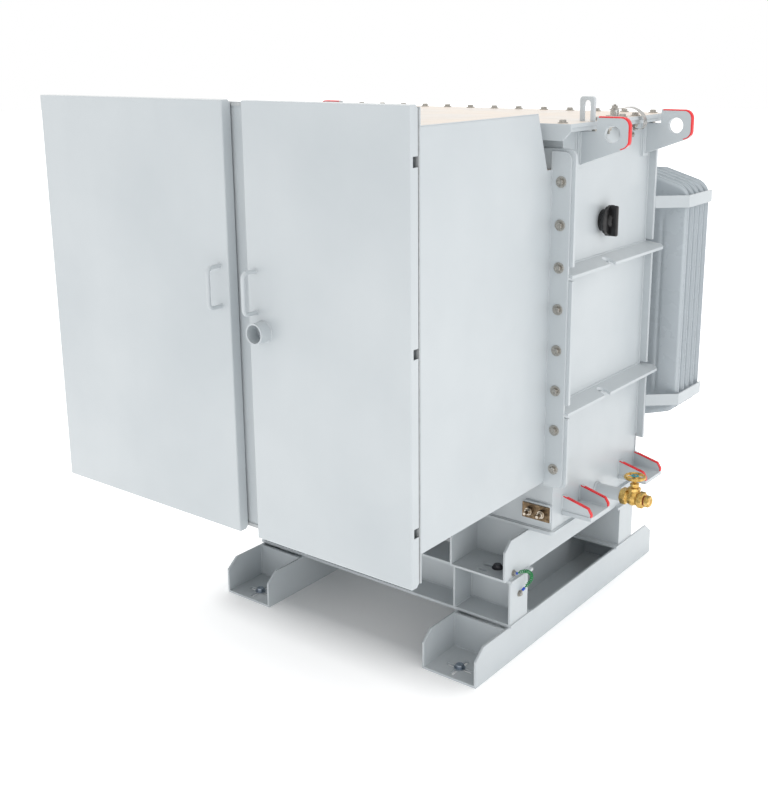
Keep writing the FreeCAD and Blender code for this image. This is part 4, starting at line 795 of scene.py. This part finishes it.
bottom_low, bottom_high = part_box("tank_bottom_plate")
front_low, front_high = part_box("tank_front_plate")
BELT_TOPS = (1.254, 0.836)
BELT_HEIGHT = 0.031
LUG_PLACES = (-0.196, 0.234)
LUG_THICKNESS = 0.016
DOUBLER_HALF = 0.021
PAD_PLACES = (-0.171, 0.212)
PAD_UNDERSIDE = 0.458
PAD_SEAT = 0.470
PAD_GUSSET_FACES = (-0.061, -0.051, 0.051, 0.061)
POCKET_DEPTH = 0.096
POCKET_SIDES = (0.324, 0.523)
BEAD_STOP = 0.004
wall = bottom_high.x - PLATE
shell_front = front_high.y
shell_rear = bottom_high.y - PLATE
weld_lines = both_sides([
    ((wall, shell_front, bottom_high.z), (wall, shell_rear, bottom_high.z)),
    ((wall, shell_rear, bottom_high.z), (wall, shell_rear, front_low.z)),
    ((wall, shell_front + 0.0005, front_low.z), (wall, shell_front + 0.0005, front_high.z - 0.01)),
    ((wall, shell_rear, front_low.z + 0.01), (wall, shell_rear, front_high.z)),
])
weld_lines += [((-wall, shell_front, bottom_high.z), (wall, shell_front, bottom_high.z)),
               ((-wall, shell_rear, bottom_high.z), (wall, shell_rear, bottom_high.z)),
               ((-wall, shell_front, front_low.z), (wall, shell_front, front_low.z))]
for top in BELT_TOPS:
    for z in (top, top - BELT_HEIGHT):
        weld_lines += both_sides([((wall, shell_front + BEAD_STOP, z), (wall, shell_rear, z))])
    weld_lines.append(((-wall, rear_wall, top), (wall, rear_wall, top)))
for y in LUG_PLACES:
    for face in (-LUG_THICKNESS / 2, LUG_THICKNESS / 2):
        weld_lines += both_sides([((wall + PLATE, y + face, 1.545), (wall + PLATE, y + face, 1.639))])
    for face in (-DOUBLER_HALF, DOUBLER_HALF):
        weld_lines += both_sides([((wall, y + face, 1.536), (wall, y + face, 1.640))])
for y in PAD_PLACES:
    for face in PAD_GUSSET_FACES:
        weld_lines += both_sides([((wall, y + face, PAD_SEAT), (wall, y + face, 0.522)),
                                  ((wall + 0.003, y + face, PAD_SEAT), (wall + 0.098, y + face, PAD_SEAT))])
    weld_lines += both_sides([((wall, y - 0.058, PAD_UNDERSIDE), (wall, y + 0.058, PAD_UNDERSIDE))])
skid_low, skid_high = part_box("skid_right")
beam_low, beam_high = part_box("cross_beam_front")
rear_beam_low, rear_beam_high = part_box("cross_beam_rear")
for y0, y1 in ((beam_low.y, beam_high.y), (rear_beam_low.y, rear_beam_high.y)):
    for x in (skid_high.x, skid_low.x, skid_low.x + PLATE, skid_high.x - PLATE):
        weld_lines += both_sides([((x, y0 + BEAD_STOP, skid_high.z), (x, y1 - BEAD_STOP, skid_high.z))])
    for x in (channel_low.x, channel_high.x):
        weld_lines += both_sides([((x, y0 + BEAD_STOP, beam_high.z), (x, y1 - BEAD_STOP, beam_high.z))])
for x in (channel_low.x + PLATE, channel_high.x - PLATE, channel_low.x, channel_high.x):
    weld_lines += both_sides([((x, bottom_low.y, bottom_low.z), (x, bottom_high.y, bottom_low.z))])
closures_low, closures_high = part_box("channel_closure_plates")
for y in (closures_low.y, closures_high.y):
    for x in (skid_low.x + PLATE, skid_high.x - PLATE):
        weld_lines += both_sides([((x, y, 0.010), (x, y, skid_high.z - 0.002))])
    weld_lines += both_sides([((skid_low.x + 0.010, y, PLATE), (skid_high.x - 0.010, y, PLATE))])
pocket_face = beam_low.y + POCKET_DEPTH
for x in POCKET_SIDES:
    for z in (beam_low.z + 0.010, beam_high.z - 0.010):
        weld_lines += both_sides([((x, beam_low.y + BEAD_STOP, z), (x, pocket_face, z))])
    weld_lines += both_sides([((x, pocket_face, beam_low.z + 0.012), (x, pocket_face, beam_high.z - 0.012))])
for z in (beam_low.z + 0.010, beam_high.z - 0.010):
    weld_lines.append(((-0.520, pocket_face, z), (0.520, pocket_face, z)))
steel_piece("weld_beads", [bead(*line) for line in weld_lines], "transformer", tank_paint,
            60.0)


# ---------------------------------------------------------------- red marked edges
# The lifting lugs' rims and the jacking pads' sloping edges are brushed over with
# red enamel so that riggers find them.
RED_LIFT = 0.0004


def painted_strip(path, centre_y, width):
    """A thin coat on an edge: the path in the X-Z plane, raised a hair along its own outward
    side, carried across the plate's thickness with both long edges turned down."""
    path = np.asarray(path, float)
    step = np.gradient(path, axis=0)
    step /= np.linalg.norm(step, axis=1)[:, None]
    outward = np.stack([step[:, 1], -step[:, 0]], axis=1)
    across = np.array([-0.5, -0.5, -0.42, 0.42, 0.5, 0.5]) * (width + 0.0006)
    rise = np.array([-0.0035, -0.0005, RED_LIFT, RED_LIFT, -0.0005, -0.0035])
    flat = path[:, None, :] + outward[:, None, :] * rise[None, :, None]
    y = centre_y + across[None, :] + 0.0 * flat[:, :, 0]
    points = np.stack([flat[:, :, 0], y, flat[:, :, 1]], axis=-1)
    return points.reshape(-1, 3), grid_faces(len(path), len(across))


def rounded_run(corners, radii, steps=9):
    """A path through corners, each turned by an arc of its radius."""
    corners = [np.asarray(c, float) for c in corners]
    path = [corners[0]]
    for before, corner, after, radius in zip(corners, corners[1:], corners[2:], radii):
        back = (before - corner) / np.linalg.norm(before - corner)
        ahead = (after - corner) / np.linalg.norm(after - corner)
        half = math.acos(float(np.clip(back.dot(ahead), -1, 1))) / 2
        middle = (back + ahead) / np.linalg.norm(back + ahead)
        centre = corner + middle * radius / math.sin(half)
        start = corner + back * radius / math.tan(half)
        sweep = math.pi - 2 * half
        side = -1.0 if back[0] * ahead[1] - back[1] * ahead[0] > 0 else 1.0
        for k in range(steps):
            angle = side * sweep * k / (steps - 1)
            turn = np.array([[math.cos(angle), -math.sin(angle)], [math.sin(angle), math.cos(angle)]])
            path.append(centre + turn @ (start - centre))
    path.append(corners[-1])
    return path


def red_enamel(name):
    """Brush-applied red enamel: uneven cover, brush drag along the edge, soft gloss."""
    material, tree, shader, place = new_finish(name, (0.72, 0.015, 0.02), 0.34)
    drag = noise(tree, place, 120.0, 4.0, stretch=(0.3, 1.0, 0.3))
    tree.links.new(blend_colours(tree, spread(tree, drag, 0.0, 1.0), (0.60, 0.010, 0.016),
                                 (0.82, 0.025, 0.030)), shader.inputs["Base Color"])
    tree.links.new(spread(tree, drag, 0.26, 0.42), shader.inputs["Roughness"])
    bump(tree, shader, drag, 0.0002)
    return material


red_paint = red_enamel("red_enamel")
lug_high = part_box("lifting_lugs")[1]
LUG_CORNER = 0.027
PAD_GUSSET = 0.010
PAD_GUSSET_MIDDLE = 0.056
lug_rim = rounded_run([(0.664, lug_high.z), (lug_high.x, lug_high.z), (lug_high.x, 1.599), (0.735, 1.5905)],
                      [LUG_CORNER, LUG_CORNER])
strips = []
for y in LUG_PLACES:
    for sign in (1, -1):
        path = np.array(lug_rim)[::-1] * (sign, 1) if sign > 0 else np.array(lug_rim) * (sign, 1)
        strips.append(painted_strip(path, y, LUG_THICKNESS))
pad_top = [(0.604, 0.5215), (0.690, 0.500), (0.702, 0.482), (0.702, 0.472)]
for y in PAD_PLACES:
    for face in (-PAD_GUSSET_MIDDLE, PAD_GUSSET_MIDDLE):
        for sign in (1, -1):
            path = np.array(pad_top)[::-1] * (sign, 1) if sign > 0 else np.array(pad_top) * (sign, 1)
            strips.append(painted_strip(path, y + face, PAD_GUSSET))
steel_piece("red_marked_edges", strips, "transformer", red_paint, 40.0)


# ---------------------------------------------------------------- round welds
# Circular fillets where a pipe, a bar or a tube stands on a plate: at the drain
# pipe, the handles' feet, the lock guard and the posts of the earth strap.
def ring_bead(place, direction, radius, thick=0.0028):
    """A bead round a bar: a ring of round section whose thickness ripples with the turn."""
    count = max(24, int(radius * 2 * math.pi / 0.0034 * 3))
    turn, around = np.meshgrid(np.linspace(0, 2 * np.pi, count, endpoint=False),
                               np.linspace(0, 2 * np.pi, 8, endpoint=False), indexing="ij")
    section = thick * (1.0 + 0.12 * np.sin(turn * count / 3))
    reach = radius + section * np.cos(around)
    points = np.stack([reach * np.cos(turn), reach * np.sin(turn), section * np.sin(around)], axis=-1)
    shape = points.reshape(-1, 3), grid_faces(count, 8, closed_rows=True, closed_columns=True)
    return moved(shape, place, direction)


drain_low, drain_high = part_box("drain_pipe")
drain_y = (drain_low.y + drain_high.y) / 2
drain_z = (drain_low.z + drain_high.z) / 2
drain_radius = (drain_high.z - drain_low.z) / 2
post_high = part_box("earth_strap_posts")[1]
POST_PLACE = (0.580, 0.060, lid_high.z)
BOSS_PLACE = (0.600, 0.104, 1.611)
steel_piece("fitting_welds", [
    ring_bead((drain_low.x + 0.001, drain_y, drain_z), (1, 0, 0), drain_radius + 0.001, 0.0042),
    ring_bead(POST_PLACE, (0, 0, 1), 0.0135, 0.0024),
    ring_bead((BOSS_PLACE[0] + 0.0005, BOSS_PLACE[1], BOSS_PLACE[2]), (1, 0, 0), 0.0145, 0.0024),
], "transformer", tank_paint, 60.0)
guard_low, guard_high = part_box("lock_guard")
guard_place = ((guard_low.x + guard_high.x) / 2, guard_high.y, (guard_low.z + guard_high.z) / 2)
for hand in ("left", "right"):
    handle_low, handle_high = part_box(hand + "_door_handle")
    handle_x = (handle_low.x + handle_high.x) / 2
    bar = (handle_high.x - handle_low.x) / 2
    beads = [ring_bead((handle_x, handle_high.y, z), (0, -1, 0), bar + 0.0006, 0.0020)
             for z in (handle_low.z + bar, handle_high.z - bar)]
    if hand == "right":
        beads.append(ring_bead(guard_place, (0, -1, 0), (guard_high.x - guard_low.x) / 2, 0.0026))
    steel_piece(hand + "_door_welds", beads, hand + "_door", tank_paint, 60.0)


# ---------------------------------------------------------------- door seal
# Light grey foam strip stuck round the front frame, that the doors' returned
# edges close against; it is soft and thin, and keeps dust out of the cabinet.
def block(low, high):
    """A plain block between two corners."""
    points = np.array(list(itertools.product(*zip(low, high))))
    faces = np.array([(0, 1, 3, 2), (4, 6, 7, 5), (0, 4, 5, 1), (2, 3, 7, 6), (0, 2, 6, 4), (1, 5, 7, 3)])
    return points, faces


sheet_low, sheet_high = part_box("cabinet_front_frame")
SEAL_THICKNESS = 0.0035
SEAL_WIDTH = 0.010
SEAL_INSET = 0.001
seal_back = sheet_low.y
seal_front = seal_back - SEAL_THICKNESS
left, right = sheet_low.x + SEAL_INSET, sheet_high.x - SEAL_INSET
foot, head = sheet_low.z + SEAL_INSET, sheet_high.z - SEAL_INSET
foam = moulded_plastic("foam_seal", (0.42, 0.44, 0.45), (0.52, 0.54, 0.55), 0.75)
steel_piece("door_seal", [
    block((left, seal_front, foot), (left + SEAL_WIDTH, seal_back, head)),
    block((right - SEAL_WIDTH, seal_front, foot), (right, seal_back, head)),
    block((left + SEAL_WIDTH, seal_front, foot), (right - SEAL_WIDTH, seal_back, foot + SEAL_WIDTH)),
    block((left + SEAL_WIDTH, seal_front, head - SEAL_WIDTH), (right - SEAL_WIDTH, seal_back, head)),
], "transformer", foam)


# ---------------------------------------------------------------- tap changer
# A moulded black knob on the tank's side: a scalloped disc with a tall grip and
# a small pointer at its top, on a bored boss.
def soft_block(length, width, height, corner, edge, base=0.0):
    """A moulded block standing on its base: its outline is a rectangle with round corners, and
    towards the top the outline draws in along a quarter circle; `edge` is that circle's radius."""
    turn = np.linspace(0.0, 2.0 * np.pi, 40, endpoint=False)
    core_x = (length / 2 - corner) * np.sign(np.cos(turn))
    core_y = (width / 2 - corner) * np.sign(np.sin(turn))
    rings, heights = [], []
    roll = np.linspace(0.0, np.pi / 2, 6)
    for inset, level in [(0.0, base)] + [(edge * (1 - math.cos(a)), height - edge + edge * math.sin(a))
                                         for a in roll] + [(min(length, width) / 2, height)]:
        radius = max(corner - inset, 0.0)
        spill = min(0.0, corner - inset)
        rings.append(np.stack([core_x + np.sign(core_x) * spill + radius * np.cos(turn),
                               core_y + np.sign(core_y) * spill + radius * np.sin(turn)], axis=-1))
        heights.append(level)
    flat = np.stack(rings)
    flat[-1] = flat[-1] * (1.0, 0.0)
    level = np.array(heights)[:, None, None] + 0.0 * flat[:, :, :1]
    points = np.concatenate([flat, level], axis=-1)
    floor_ring = np.concatenate([flat[:1] * (1.0, 0.0), level[:1]], axis=-1)
    points = np.concatenate([floor_ring, points])
    return points.reshape(-1, 3), grid_faces(len(points), 40, closed_columns=True)


def scalloped(profile, lobes, depth, sides=96):
    """A turned shape whose radius dips gently between its lobes."""
    points, faces = turned(profile, sides)
    turn = np.arctan2(points[:, 1], points[:, 0])
    swell = 1.0 - depth * (0.5 - 0.5 * np.cos(lobes * turn))
    return points * np.stack([swell, swell, np.ones_like(swell)], axis=-1), faces


knob_low, knob_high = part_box("tap_changer_handle")
knob_y = (knob_low.y + knob_high.y) / 2
knob_z = (knob_low.z + knob_high.z) / 2
KNOB_DISC_START = 0.617
KNOB_DISC_THICKNESS = 0.011
KNOB_DISC_RADIUS = 0.0478
KNOB_LOBES = 16
KNOB_LOBE_DEPTH = 0.045
GRIP_LENGTH = 0.094
GRIP_WIDTH = 0.014
POINTER_UP = 0.0425
SPINDLE_START = 0.602
knob_face = KNOB_DISC_START + KNOB_DISC_THICKNESS
knob_seat = knob_face - 0.001
disc = scalloped([(0.0, 0.0), (KNOB_DISC_RADIUS - 0.002, 0.0), (KNOB_DISC_RADIUS, 0.002),
                  (KNOB_DISC_RADIUS, 0.0075), (KNOB_DISC_RADIUS - 0.002, 0.0098),
                  (KNOB_DISC_RADIUS - 0.005, KNOB_DISC_THICKNESS), (0.0, KNOB_DISC_THICKNESS)],
                 KNOB_LOBES, KNOB_LOBE_DEPTH)
spindle = turned([(0.0, 0.0), (0.0098, 0.0), (0.0098, 0.016), (0.0, 0.016)], 24)
grip = soft_block(GRIP_LENGTH, GRIP_WIDTH, knob_high.x - knob_face, 0.0065, 0.005)
pointer = soft_block(0.012, 0.007, 0.012, 0.0030, 0.003)
collar = turned([(0.0, 0.0), (0.0210, 0.0), (0.0195, 0.006), (0.0150, 0.010), (0.0, 0.010)], 40)
black_resin = moulded_plastic("black_resin", (0.0045, 0.0045, 0.0050), (0.0110, 0.0110, 0.0120), 0.33)
knob = steel_piece("tap_changer_knob", [
    moved(disc, (KNOB_DISC_START, knob_y, knob_z), (1, 0, 0)),
    moved(spindle, (SPINDLE_START, knob_y, knob_z), (1, 0, 0)),
    moved(grip, (knob_seat, knob_y, knob_z), (1, 0, 0)),
    moved(pointer, (knob_seat, knob_y, knob_z + POINTER_UP), (1, 0, 0)),
    moved(collar, (knob_seat, knob_y, knob_z), (1, 0, 0)),
], "tap_changer_handle", black_resin, 38.0)
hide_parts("tap_changer_handle")
give_finish(frame["nodes"]["tap_changer_boss"], black_resin)


# ---------------------------------------------------------------- drain valve
# A cast brass valve screwed to the drain pipe, with a hexagon at each end, a
# screwed bonnet and gland nut, a brass wheel with a teal enamelled boss, and a plug.
def cast_brass(name, dark, light, rough):
    """Brass with a sand-cast skin: mottled tone, fine pits, tarnish in cloudy patches."""
    material, tree, shader, place = new_finish(name, light, rough, 1.0)
    tarnish = spread(tree, noise(tree, place, 90.0, 5.0), 0.0, 1.0, 0.35, 0.7)
    tree.links.new(blend_colours(tree, tarnish, dark, light), shader.inputs["Base Color"])
    tree.links.new(spread(tree, noise(tree, place, 150.0), rough - 0.06, rough + 0.16),
                   shader.inputs["Roughness"])
    bump(tree, shader, noise(tree, place, 900.0, 3.0), 0.00018)
    return material


brass = cast_brass("cast_brass", (0.50, 0.30, 0.075), (0.83, 0.58, 0.20), 0.27)
valve_low, valve_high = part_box("drain_valve")
valve_start = valve_low.x
hexagon_half = (valve_high.y - valve_low.y) / 2 * math.cos(math.pi / 6) - 0.0004
bonnet_x = 0.733
body_profile = [
    (0.0, 0.0), (0.0235, 0.0), (hexagon_half - 0.0010, 0.0005), (hexagon_half, 0.0025),
    (hexagon_half, 0.0195), (hexagon_half - 0.0025, 0.0225), (0.0225, 0.0235), (0.0212, 0.0265),
    (0.0235, 0.0315), (0.0258, 0.0400), (0.0235, 0.0485), (0.0212, 0.0535), (0.0225, 0.0565),
    (hexagon_half - 0.0025, 0.0575), (hexagon_half, 0.0605), (hexagon_half, 0.0770),
    (hexagon_half - 0.0010, 0.0795), (0.0195, 0.0800), (0.0185, 0.0780), (0.0, 0.0780)]
valve_body = turned(body_profile, 48, flats=(2, 3, 4, 13, 14, 15))
bonnet_profile = [
    (0.0, 0.0), (0.0205, 0.010), (0.0195, 0.022), (0.0170, 0.025), (0.0170, 0.0262),
    (0.0178, 0.0270), (0.0178, 0.0360), (0.0168, 0.0372), (0.0120, 0.0380), (0.0118, 0.0400),
    (0.0132, 0.0406), (0.0132, 0.0500), (0.0122, 0.0514), (0.0058, 0.0520), (0.0, 0.0520)]
bonnet = turned(bonnet_profile, 48, flats=(5, 6, 11))
valve = steel_piece("drain_valve_body", [
    moved(valve_body, (valve_start, drain_y, drain_z), (1, 0, 0)),
    moved(bonnet, (bonnet_x, drain_y, drain_z)),
], "transformer", brass, 34.0)
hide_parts("drain_valve")
plug_low, plug_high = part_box("drain_plug")
plug_half = 0.0168
plug = steel_piece("drain_plug_head", [moved(turned([
    (0.0, 0.0), (0.0150, 0.0), (0.0150, 0.003), (plug_half, 0.0035), (plug_half, 0.0170),
    (plug_half - 0.0018, plug_high.x - plug_low.x), (0.009, plug_high.x - plug_low.x),
    (0.0085, 0.0185), (0.0, 0.0185)], 48, flats=(3, 4)), (plug_low.x, drain_y, drain_z), (1, 0, 0))],
    "transformer", brass, 34.0)
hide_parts("drain_plug")
sealant = moulded_plastic("thread_sealant", (0.36, 0.055, 0.030), (0.50, 0.10, 0.05), 0.55)
steel_piece("drain_plug_sealant", [
    ring_bead((plug_low.x + 0.0006, drain_y, drain_z), (1, 0, 0), 0.0152, 0.0011)],
    "transformer", sealant, 60.0)

WHEEL_RADIUS = 0.0320
WHEEL_RIM = 0.0048
WHEEL_LOBES = 10
WHEEL_SPOKES = 5
SPOKE_ROOT = 0.004
wheel_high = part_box("drain_handwheel")[1]
wheel_z = wheel_high.z - 0.006
turn, around = np.meshgrid(np.linspace(0, 2 * np.pi, 90, endpoint=False),
                           np.linspace(0, 2 * np.pi, 16, endpoint=False), indexing="ij")
lobe = 1.0 + 0.22 * np.cos(WHEEL_LOBES * turn)
rim_reach = WHEEL_RADIUS - 0.0010 + WHEEL_RIM * 0.88 * np.cos(around) * (0.80 + 0.20 * lobe)
rim_points = np.stack([rim_reach * np.cos(turn), rim_reach * np.sin(turn), WHEEL_RIM * np.sin(around)],
                      axis=-1)
rim = rim_points.reshape(-1, 3), grid_faces(90, 16, closed_rows=True, closed_columns=True)
spoke = turned([(0.0, 0.0), (0.0046, 0.0), (0.0034, 0.010), (0.0031, 0.018), (0.0040, 0.026),
                (0.0, 0.026)], 12)
wheel_shapes = [moved(rim, (bonnet_x, drain_y, wheel_z))]
for k in range(WHEEL_SPOKES):
    angle = 2 * math.pi * k / WHEEL_SPOKES
    out = (math.cos(angle), math.sin(angle), 0.0)
    start = (bonnet_x + SPOKE_ROOT * out[0], drain_y + SPOKE_ROOT * out[1], wheel_z)
    wheel_shapes.append(moved(spoke, start, out))
wheel_shapes.append(moved(turned([
    (0.0, -0.045), (0.0048, -0.045), (0.0048, -0.010), (0.0100, -0.0055), (0.0115, -0.004),
    (0.0115, 0.0030), (0.0100, 0.0042), (0.0, 0.0042)], 32), (bonnet_x, drain_y, wheel_z)))
wheel = steel_piece("drain_wheel", wheel_shapes, "drain_handwheel", brass, 40.0)
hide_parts("drain_handwheel")
teal = moulded_plastic("teal_enamel", (0.010, 0.22, 0.26), (0.020, 0.34, 0.38), 0.30)
steel_piece("drain_wheel_boss", [moved(turned([
    (0.0, 0.0), (0.0125, 0.0), (0.0130, 0.0008), (0.0120, 0.0016), (0.0, 0.0016)], 32),
    (bonnet_x, drain_y, wheel_z + 0.0036))], "drain_handwheel", teal)
steel_piece("drain_wheel_nut", [moved(hexagon_head(0.009, 0.0016),
            (bonnet_x, drain_y, wheel_z + 0.0044))], "drain_handwheel", brass)


# ---------------------------------------------------------------- ground pad
# A dark bronze contact plate on a raised white block below the cabinet, with two
# round bosses; each stud carries a plain washer and a brass nut.
bronze = cast_brass("dark_bronze", (0.115, 0.080, 0.050), (0.30, 0.215, 0.130), 0.36)
eased_copy("ground_terminals", 0.0010, bronze)
ground_studs = [m for m in record["mounts"] if m["name"] == "ground_studs"][0]
stud_x, stud_y, stud_z = ground_studs["pos_m"]
stud_pitch = ground_studs["dims"]["spacing_x_mm"] / 1000
stud_shapes = []
for side in (-1, 1):
    x = stud_x + side * stud_pitch / 2
    stud_shapes.append(moved(plain_washer(0.0125, 0.0022), (x, stud_y, stud_z), (0, -1, 0)))
    stud_shapes.append(moved(hexagon_head(0.0175, 0.0085), (x, stud_y - 0.0022, stud_z), (0, -1, 0)))
    stud_shapes.append(moved(threaded_end(0.0058, 0.023), (x, stud_y - 0.0005, stud_z), (0, -1, 0)))
steel_piece("ground_stud_nuts", stud_shapes, "transformer",
            stainless("stud_nickel", (0.40, 0.34, 0.27), (0.72, 0.66, 0.57), 0.24), 34.0)


# ---------------------------------------------------------------- earth strap
# A flat braid of tinned copper wire over the lid's edge, from a post on the lid
# to a boss on the tank wall, held by a nut and washer at each end.
STRAP_WIDTH = 0.0240
STRAP_PLY = 0.0022
BRAID_PITCH = 0.0052
BRAID_SLANT = 2.2
BRAID_RELIEF = 0.30
STRAP_SIDES = 36
STRAP_POINTS = 150
EDGE_RUN = (0.593, 0.659)
STRAP_LINE = [(0.5680, 1.6893), (0.5925, 1.6893), (0.6315, 1.6975), (0.6625, 1.6672),
             (0.6605, 1.6250), (0.6140, 1.6350), (0.6136, 1.5972)]
strap_slope = (BOSS_PLACE[1] - POST_PLACE[1]) / (EDGE_RUN[1] - EDGE_RUN[0])
guide = [(x, POST_PLACE[1] + (x - EDGE_RUN[0]) * strap_slope, z) for x, z in STRAP_LINE]
centre = route_points(guide, STRAP_POINTS)
forward = np.gradient(centre, axis=0)
forward /= np.linalg.norm(forward, axis=1)[:, None]
strap_across = np.cross(np.cross(forward, (0.0, 1.0, 0.0)), forward)
strap_across /= np.linalg.norm(strap_across, axis=1)[:, None]
raised = np.cross(forward, strap_across)
ring = np.linspace(0.0, 2.0 * np.pi, STRAP_SIDES, endpoint=False)
side_share = np.sign(np.cos(ring)) * np.abs(np.cos(ring)) ** 0.6
top_share = np.sign(np.sin(ring)) * np.abs(np.sin(ring)) ** 0.5
run = np.concatenate([[0.0], np.cumsum(np.linalg.norm(np.diff(centre, axis=0), axis=1))])
# Two sets of strands cross: each is a wave along the braid, slanted across it one way or the other.
strands_right = np.sin(2 * np.pi * (run[:, None] / BRAID_PITCH + side_share[None, :] * BRAID_SLANT))
strands_left = np.sin(2 * np.pi * (run[:, None] / BRAID_PITCH - side_share[None, :] * BRAID_SLANT))
ply = STRAP_PLY / 2 * (1.0 + BRAID_RELIEF * (strands_right * strands_left))
points = (centre[:, None, :] + strap_across[:, None, :] * (STRAP_WIDTH / 2 * side_share)[None, :, None]
          + raised[:, None, :] * (ply * top_share[None, :])[:, :, None])
strap_rings = np.concatenate([centre[:1, None, :] + 0.0 * points[:1], points,
                              centre[-1:, None, :] + 0.0 * points[:1]])
braid = strap_rings.reshape(-1, 3), grid_faces(len(strap_rings), STRAP_SIDES, closed_columns=True)
tin = stainless("tinned_wire", (0.34, 0.335, 0.32), (0.60, 0.59, 0.57), 0.26, 420.0)
strap = steel_piece("earth_braid", [braid], "transformer", tin, 50.0)
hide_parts("earth_strap")
give_finish(frame["nodes"]["earth_strap_posts"], tin)
post_top = (POST_PLACE[0], POST_PLACE[1], post_high.z + 0.0030)
boss_face = (0.6155, BOSS_PLACE[1], BOSS_PLACE[2])
strap_nut = joined([plain_washer(0.0115, 0.002), moved(hexagon_head(0.016, 0.007), (0.0, 0.0, 0.002)),
                    threaded_end(0.0042, 0.012)])
steel_piece("earth_strap_nuts", [moved(strap_nut, post_top), moved(strap_nut, boss_face, (1, 0, 0))],
            "transformer", bolt_steel)


# ---------------------------------------------------------------- bushings and hinges
# Behind the doors: three cast-resin wells and four tin-plated spades, clamped to
# the front plate by bolted flanges; painted hinge arms welded inside the frame,
# with zinc-plated knuckles on the doors.
resin = moulded_plastic("cast_resin", (0.16, 0.125, 0.105), (0.24, 0.20, 0.17), 0.34)
tin_plate = stainless("tin_plate", (0.60, 0.57, 0.50), (0.80, 0.78, 0.72), 0.26, 130.0)
zinc = stainless("zinc_plate", (0.52, 0.53, 0.52), (0.68, 0.69, 0.68), 0.30, 180.0)
for part, finish in (("hv_bushings", resin), ("lv_bushings", tin_plate), ("door_hinge_brackets", tank_paint),
                     ("left_hinge_knuckles", zinc), ("right_hinge_knuckles", zinc),
                     ("drain_valve", brass), ("drain_plug", brass), ("drain_handwheel", brass),
                     ("ground_terminals", bronze), ("earth_strap", tin), ("tap_changer_handle", black_resin),
                     ("bonding_jumper", green_wire), ("jumper_lugs", blue_sleeve)):
    give_finish(frame["nodes"][part], finish)
HV_PLACES = [(x, 1.300) for x in (-0.520, -0.340, -0.160)]
LV_PLACES = [(x, 1.240) for x in (0.100, 0.225, 0.350, 0.475)]
flange_bolt_small = bolt(0.013, 0.006, 0.0095, 0.0018)
wall_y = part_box("tank_front_plate")[0].y
clamp_shapes = []
for places, circle, depth, count in ((HV_PLACES, 0.053, 0.014, 6), (LV_PLACES, 0.038, 0.012, 4)):
    for x, z in places:
        for k in range(count):
            angle = 2 * math.pi * (k + 0.5) / count
            seat = (x + circle * math.cos(angle), wall_y - depth, z + circle * math.sin(angle))
            clamp_shapes.append(moved(flange_bolt_small, seat, (0, -1, 0)))
steel_piece("bushing_flange_bolts", clamp_shapes, "transformer", bolt_steel)
